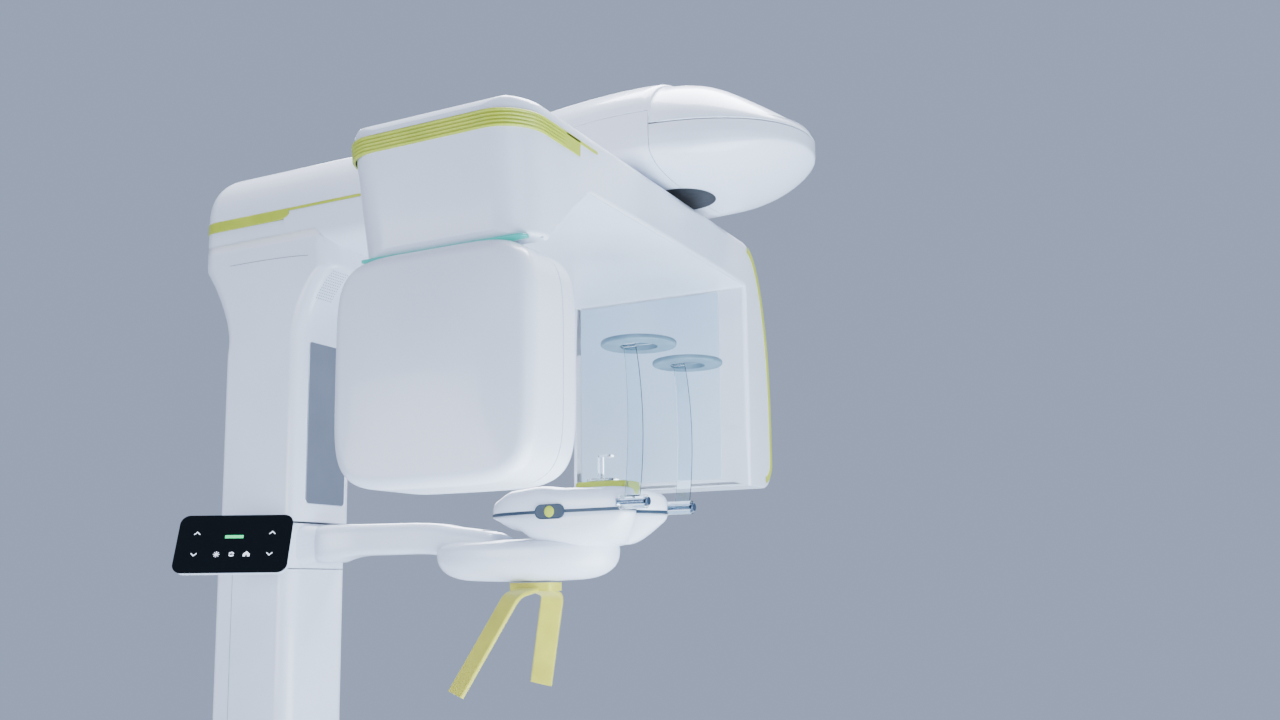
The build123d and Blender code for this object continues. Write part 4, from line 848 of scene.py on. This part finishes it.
# ---- Chin arm --------------------------
# A hollow ABS beam that leaves the column's collar in a soft flare and carries the support. It is one
# moulding over a steel frame, screwed from below.
rings = []
for y, half, foot, top in (
        (-100, 56, 890, 970), (-150, 54, 892, 972), (-170, 47, 897, 972), (-195, 41, 902, 972),
        (-230, 38, 905, 971), (-300, 38, 905, 970), (-370, 38, 905, 969), (-410, 38, 903, 967),
        (-440, 39, 899, 964), (-470, 40, 893, 958), (-500, 40, 888, 954), (-530, 40, 888, 950),
        (-560, 38, 890, 944), (-590, 34, 892, 930)):
    rings.append([(x, y, (foot + top) / 2 + z) for x, z in superellipse(half, (top - foot) / 2, 4.0, 48)])
casing("chin_arm_beam", "carriage", skin(rings), "chin_arm_cover")


# ---- Chin support: lower body ----------
# A pebble of white ABS on the end of the chin arm, in two mouldings glued along their widest line.
pebble_low, pebble_high = span("lower_support_body")
pebble_middle = (pebble_low.y + pebble_high.y) / 2
pebble_half = (pebble_high.y - pebble_low.y) / 2
pebble_rim = pebble_high.z - 27.0


def pebble_spine(y):
    """Middle line that the pebble's surface closes on."""
    return min(max(y, pebble_low.y + 80.0), pebble_high.y - 80.0)


def pebble_foot(y):
    """Underside of the pebble: lowest in the middle, rising to both ends."""
    return pebble_low.z + 2.0 + 8.0 * abs(2 * ((y - pebble_low.y) / (2 * pebble_half)) - 1) ** 2


outline = [(x, pebble_middle + y) for x, y in superellipse(pebble_high.x, pebble_half, 2.5, 72)]
down = dome(outline, pebble_spine, lambda y: pebble_rim, pebble_foot, 2.5)
up = dome(outline, pebble_spine, lambda y: pebble_rim, lambda y: pebble_high.z - 2.0, 2.6)
casing("support_pebble", "carriage", skin(down[::-1] + up[1:], False, False), "lower_support_body")


# ---- Chin support: upper body ----------
# The shoe-shaped head of the support: a lower bowl and an upper shell in white ABS, parted by a dark slate
# plate, with two front lobes on either side of the throat hollow.
upper_low, upper_high = span("support_upper_shell")
bowl_high = span("support_lower_shell")[1]
knob_low, knob_high = span("slide_knob")
pad_low, pad_high = span("chin_pad")
pad_high.z += 6.0
toe = upper_low.y
heel = upper_high.y
part_z = (upper_low.z + bowl_high.z) / 2
foot_half = upper_high.x
toe_round = 24.0
throat_depth = 34.0
heel_start = 120.0


def shoe(inset):
    """Plan of the support head, with lobes at the front and a rounded heel."""
    right = []
    for i in range(13):
        t = i / 12
        right.append(((foot_half - toe_round) * t, toe + throat_depth * (1 - t) ** 2 * (1 + 2 * t)))
    for a in sweep(0, 8, first=1):
        right.append((foot_half - toe_round + toe_round * math.sin(a),
                      toe + toe_round - toe_round * math.cos(a)))
    for i in range(1, 9):
        right.append((foot_half - 2.0 * (i / 8) ** 2, toe + toe_round + (heel_start - toe_round) * i / 8))
    for a in sweep(0, 20, first=1):
        right.append(((foot_half - 2.0) * math.cos(a) ** 0.75,
                      toe + heel_start + (heel - toe - heel_start) * math.sin(a) ** 0.95))
    outline = right + [(-x, y) for x, y in reversed(right[1:-1])]
    return shrunk(outline, inset)


crown_marks = ((toe, upper_high.z), (toe + 60.0, upper_high.z + 4.0), (heel - 190.0, upper_high.z + 5.0),
               (heel - 130.0, upper_high.z + 11.0), (heel - 70.0, upper_high.z + 7.0),
               (heel - 20.0, upper_high.z - 8.0), (heel, part_z + 18.0))
bowl_marks = ((toe, part_z - 30.0), (toe + 60.0, part_z - 62.0), (toe + 130.0, part_z - 75.0),
              (toe + 210.0, part_z - 64.0), (heel - 70.0, part_z - 32.0), (heel, part_z - 8.0))


def shoe_spine(y):
    """Middle line that the support head's surface closes on."""
    return min(max(y, toe + 60.0), heel - 60.0)


outline = shoe(0.0)
for name, node, rim_z, marks, power in (
        ("support_upper_form", "support_upper_shell", part_z + 3.0, crown_marks, 4.2),
        ("support_bowl", "support_lower_shell", part_z - 3.0, bowl_marks, 2.6)):
    lip = [(x, y, rim_z) for x, y in shoe(5.0)]
    rings = [lip] + dome(outline, shoe_spine, lambda y: rim_z, lambda y: along(y, marks, True), power)
    casing(name, "carriage", skin(rings, False, False), node)

# Slate plate and recess: dark blue-grey ABS with a satin grain.
slate_abs, tree, shader = finish("satin_slate_abs", "#26394A", 0.42, IOR=1.53)
two_tones(tree, shader, "#2A3E50", "#223444", blotches(tree, 40.0))
knob_y = (knob_low.y + knob_high.y) / 2
knob_z = (knob_low.z + knob_high.z) / 2


def slot_outline(half_length, radius):
    """Oval outline on the support's side, about the knob."""
    points = []
    for centre, start in ((half_length - radius, -90), (-(half_length - radius), 90)):
        for a in sweep(start, 12, 180):
            points.append((knob_y + centre + radius * math.cos(a), knob_z + radius * math.sin(a)))
    return points


side_x = -foot_half
band_parts = [skin([[(x, y, z) for x, y in shoe(inset)] for inset, z in
                    ((6.0, part_z - 3.0), (-0.4, part_z - 3.0), (-0.9, part_z - 2.2), (-0.9, part_z + 2.2),
                     (-0.4, part_z + 3.0), (6.0, part_z + 3.0))], False, False)]
frame_rings = [[(side_x - out, y, z) for y, z in slot_outline(half, radius)] for out, half, radius in
               ((-4.0, 32.0, 14.0), (0.8, 32.0, 14.0), (1.4, 31.4, 13.4), (1.4, 30.6, 12.6),
                (0.8, 30.0, 12.0), (0.7, 29.4, 11.4))]
band_parts.append(skin(frame_rings, False, True))
shape("slate_band_and_recess", *joined(*band_parts), "carriage", "slate_plastic", slate_abs,
      ("support_band",))

# Slide knob: lime ABS button with a domed face.
rings = []
for out, radius in ((-9.0, 10.8), (0.8, 10.8), (1.8, 10.2), (2.4, 8.8), (2.7, 6.0), (2.7, 2.0)):
    rings.append([(side_x - out, knob_y + radius * math.cos(math.tau * i / 32),
                   knob_z + radius * math.sin(math.tau * i / 32)) for i in range(32)])
shape("slide_knob_button", *skin(rings), "knob", "lime_plastic", lime_abs, ("slide_knob",))

# Chin pad: soft lime silicone saddle over the top and down the front hollow.
lime_silicone, tree, shader = finish("lime_silicone", "#C3CC42", 0.5, IOR=1.41, Subsurface_Weight=0.1)
two_tones(tree, shader, "#C6CF46", "#BAC53A", blotches(tree, 30.0))
uneven(tree, shader, blotches(tree, 1.2), 0.02)
pad_middle = (pad_low.y + pad_high.y) / 2
outline = [(x, pad_middle + y) for x, y in
           rounded_rectangle(-34.0, 34.0, pad_low.y - pad_middle, pad_high.y - pad_middle, 20.0)]
rings = [[(x, y, upper_high.z - 6.0) for x, y in outline]]
rings += [[(x, y, pad_high.z - drop) for x, y in shrunk(outline, inset)]
          for inset, drop in ((0.0, 5.0), (0.8, 2.4), (2.6, 0.7), (6.0, 0.0), (14.0, 0.2), (22.0, 0.8))]
tongue = []
for y, z in ((pad_low.y + 14.0, pad_high.z - 0.4), (pad_low.y - 2.0, pad_high.z - 2.0),
             (toe + 32.0, part_z + 26.0), (toe + 31.0, part_z + 8.0)):
    tongue.append([(x, y - 1.5 * math.cos(x / 24.0 * 1.4), z + math.cos(x / 24.0 * 1.4))
                   for x in (-24.0, -20.0, -12.0, 0.0, 12.0, 20.0, 24.0)])
shape("chin_pad_saddle", *joined(skin(rings, close_start=False), sheet(tongue)),
      "carriage", "lime_plastic", lime_silicone, ("chin_pad",))


# ---- Temple supports and bite piece ----
# Polished clear acrylic ribs on steel pins, with flat soft ring pads that rest on the patient's temples.
# The eye sees bright rims, a faint blue body and little else.
clear_acrylic, tree, shader = finish("polished_clear_acrylic", "#EAF4F8", 0.03, IOR=1.49,
                                     Transmission_Weight=1.0)
varied_gloss(tree, shader, 0.02, 0.06, blotches(tree, 25.0))
dress(clear_acrylic, "temple_arm_left", "temple_arm_right", "bite_piece")
# Ring pads: soft grey-teal silicone, matt with a fine moulded grain.
ring_pad, tree, shader = finish("grey_teal_silicone", "#627C89", 0.5, IOR=1.41)
two_tones(tree, shader, "#68828F", "#5C7683", blotches(tree, 35.0))
uneven(tree, shader, blotches(tree, 1.5), 0.02)
dress(ring_pad, "temple_ring_left", "temple_ring_right")
# Bare turned and ground steel: bright grey, with fine marks that streak its reflections.
steel, tree, shader = finish("turned_steel", "#B4B8BE", 0.28, 1.0)
varied_gloss(tree, shader, 0.2, 0.36, blotches(tree, 4.0, 2.0, (1.0, 0.1, 1.0)))
dress(steel, "mast_bolts", "lead_screw", "actuator_rod", "stage_rails", "collimator_blades")
# Temple pins: blued steel, dark and bluish with clear reflections.
blued_steel, tree, shader = finish("blued_steel", "#6C8299", 0.25, 1.0)
varied_gloss(tree, shader, 0.18, 0.32, blotches(tree, 5.0))
dress(blued_steel, "temple_pins")


# ---- Handle ----------------------------
# A forged strap with two legs for the patient's hands, dipped in soft yellow-green vinyl.
handle_vinyl, tree, shader = finish("soft_yellow_green_vinyl", "#C2B92F", 0.48, IOR=1.52, Sheen_Weight=0.15)
two_tones(tree, shader, "#C8C036", "#BCB32C", blotches(tree, 50.0))
uneven(tree, shader, blotches(tree, 0.9), 0.03)
dress(handle_vinyl, "handle_frame")


# ---- Control panel ---------------------
# A black touch glass in a white ABS tray, on a short swivel arm. Its signs are back-lit: arrows to raise
# and lower at both sides, three round signs below and a green bar.
glass_black, tree, shader = finish("anti_glare_touch_glass", "#04070A", 0.12, IOR=1.5,
                                   Specular_IOR_Level=0.2)
varied_gloss(tree, shader, 0.09, 0.16, blotches(tree, 45.0))
dress(glass_black, "panel_glass")
# Signs: white and green light through thin printed film, even and a little soft.
sign_white, tree, shader = finish("lit_white_sign", "#E9EFF8", 0.4, Emission_Strength=0.8,
                                  Emission_Color=linear("#E9EFF8"))
varied_gloss(tree, shader, 0.3, 0.5, blotches(tree, 8.0))
sign_green, tree, shader = finish("lit_green_sign", "#2FD07C", 0.4, Emission_Strength=1.0,
                                  Emission_Color=linear("#35D884"))
varied_gloss(tree, shader, 0.3, 0.5, blotches(tree, 8.0))
panel_turn = math.radians(27.0)
panel_tilt = math.radians(22.0)
normal = Vector((-math.cos(panel_turn) * math.cos(panel_tilt), -math.sin(panel_turn) * math.cos(panel_tilt),
                 math.sin(panel_tilt)))
across = Vector((math.sin(panel_turn), -math.cos(panel_turn), 0.0))
upward = normal.cross(across)
glass = nodes["panel_glass"].data
corners = [nodes["panel_glass"].matrix_world @ v.co for v in glass.vertices]
face_height = max(p.dot(normal) for p in corners) / MM
centre_across = (max(p.dot(across) for p in corners) + min(p.dot(across) for p in corners)) / 2 / MM
centre_up = (max(p.dot(upward) for p in corners) + min(p.dot(upward) for p in corners)) / 2 / MM


def on_glass(flat, lift=0.25):
    """Points on the glass from millimetres across and up from its middle."""
    return [tuple(normal * (face_height + lift) + across * (centre_across + u) + upward * (centre_up + v))
            for u, v in flat]


def plate_of(flat):
    """Thin printed sign with a small thickness, from its outline on the glass."""
    return skin([on_glass(flat, 0.02), on_glass(flat, 0.3)])


def stroke(a, b, half):
    """Straight bar between two points on the glass."""
    dx, dy = b[0] - a[0], b[1] - a[1]
    size = math.hypot(dx, dy)
    nx, ny = -dy / size * half, dx / size * half
    return [(a[0] + nx, a[1] + ny), (a[0] - nx, a[1] - ny), (b[0] - nx, b[1] - ny), (b[0] + nx, b[1] + ny)]


signs = []
sign_row = -24.0
for u in (-78.0, 78.0):
    for v, turn in ((24.0, 1), (-24.0, -1)):
        signs.append(plate_of(stroke((u - 6.0, v - 3.0 * turn), (u + 0.5, v + 3.0 * turn), 0.9)))
        signs.append(plate_of(stroke((u + 6.0, v - 3.0 * turn), (u - 0.5, v + 3.0 * turn), 0.9)))
for k in range(4):
    a = math.pi * k / 4
    ray = (6.5 * math.cos(a), 6.5 * math.sin(a))
    signs.append(plate_of(stroke((-31.0 - ray[0], sign_row - ray[1]),
                                 (-31.0 + ray[0], sign_row + ray[1]), 0.6)))
for start in (20, 200):
    turns = sweep(start, 10, 140)
    outside = [(6.0 * math.cos(a), sign_row + 5.0 * math.sin(a)) for a in turns]
    inside = [(3.0 * math.cos(a), sign_row + 2.2 * math.sin(a)) for a in reversed(turns)]
    signs.append(plate_of(outside + inside))
signs.append(plate_of([(24, -29), (29, -29), (29, -25), (33, -25), (33, -29), (38, -29), (38, -23.5),
                       (31, -17.5), (24, -23.5)]))
shape("panel_white_signs", *joined(*signs), "panel", "light_plastic", sign_white, smooth=False)
shape("panel_green_bar", *plate_of([(-19.0, 12.0), (19.0, 12.0), (19.0, 19.0), (-19.0, 19.0)]), "panel",
      "light_plastic", sign_green, smooth=False)


# ---- Metal, mechanism and base ---------
# The parts behind the casings: powder-coated steel base, mast and frames, extruded aluminium, black belts
# and switches. They show from behind, from below and when the lift is up.
powder_coat, tree, shader = finish("powder_coated_steel", "#DADDE2", 0.5)
two_tones(tree, shader, "#DCDFE4", "#D4D8DE", blotches(tree, 90.0))
uneven(tree, shader, blotches(tree, 1.8), 0.05)
dress(powder_coat, "base_plate", "outer_mast", "lift_motor", "carriage_frame", "rotation_motor", "tube_head",
      "panel_arm")
# Anodised aluminium: silky grey with drawing marks along its length.
anodised, tree, shader = finish("anodised_aluminium", "#C3C6CB", 0.34, 1.0)
varied_gloss(tree, shader, 0.28, 0.42, blotches(tree, 3.0, 2.0, (1.0, 1.0, 0.08)))
dress(anodised, "actuator_tube", "stage_plate", "motor_pulley", "rotor_hub", "gantry_frame")
# Grey nylon of the cap and the glide pads: dull, slightly waxy.
grey_nylon, tree, shader = finish("grey_nylon", "#7B8088", 0.55)
two_tones(tree, shader, "#80858D", "#757A82", blotches(tree, 30.0))
dress(grey_nylon, "column_top_cap", "lower_glide_pads", "upper_glide_pads")
# Real matt black ABS parts; the same material also carries the painted shade of the rotor well.
dress(black_abs_and_well_shade, "power_inlet", "main_switch", "detector_sensor")
# Belt rubber: near black and dry, with a fine grain.
belt_rubber, tree, shader = finish("black_belt_rubber", "#15171A", 0.7)
uneven(tree, shader, blotches(tree, 1.5), 0.05)
dress(belt_rubber, "drive_belt")
# Stop button: glossy red ABS that the eye finds at once.
stop_red, tree, shader = finish("glossy_red_abs", "#C4201C", 0.3, IOR=1.53)
varied_gloss(tree, shader, 0.24, 0.36, blotches(tree, 10.0))
dress(stop_red, "emergency_stop")
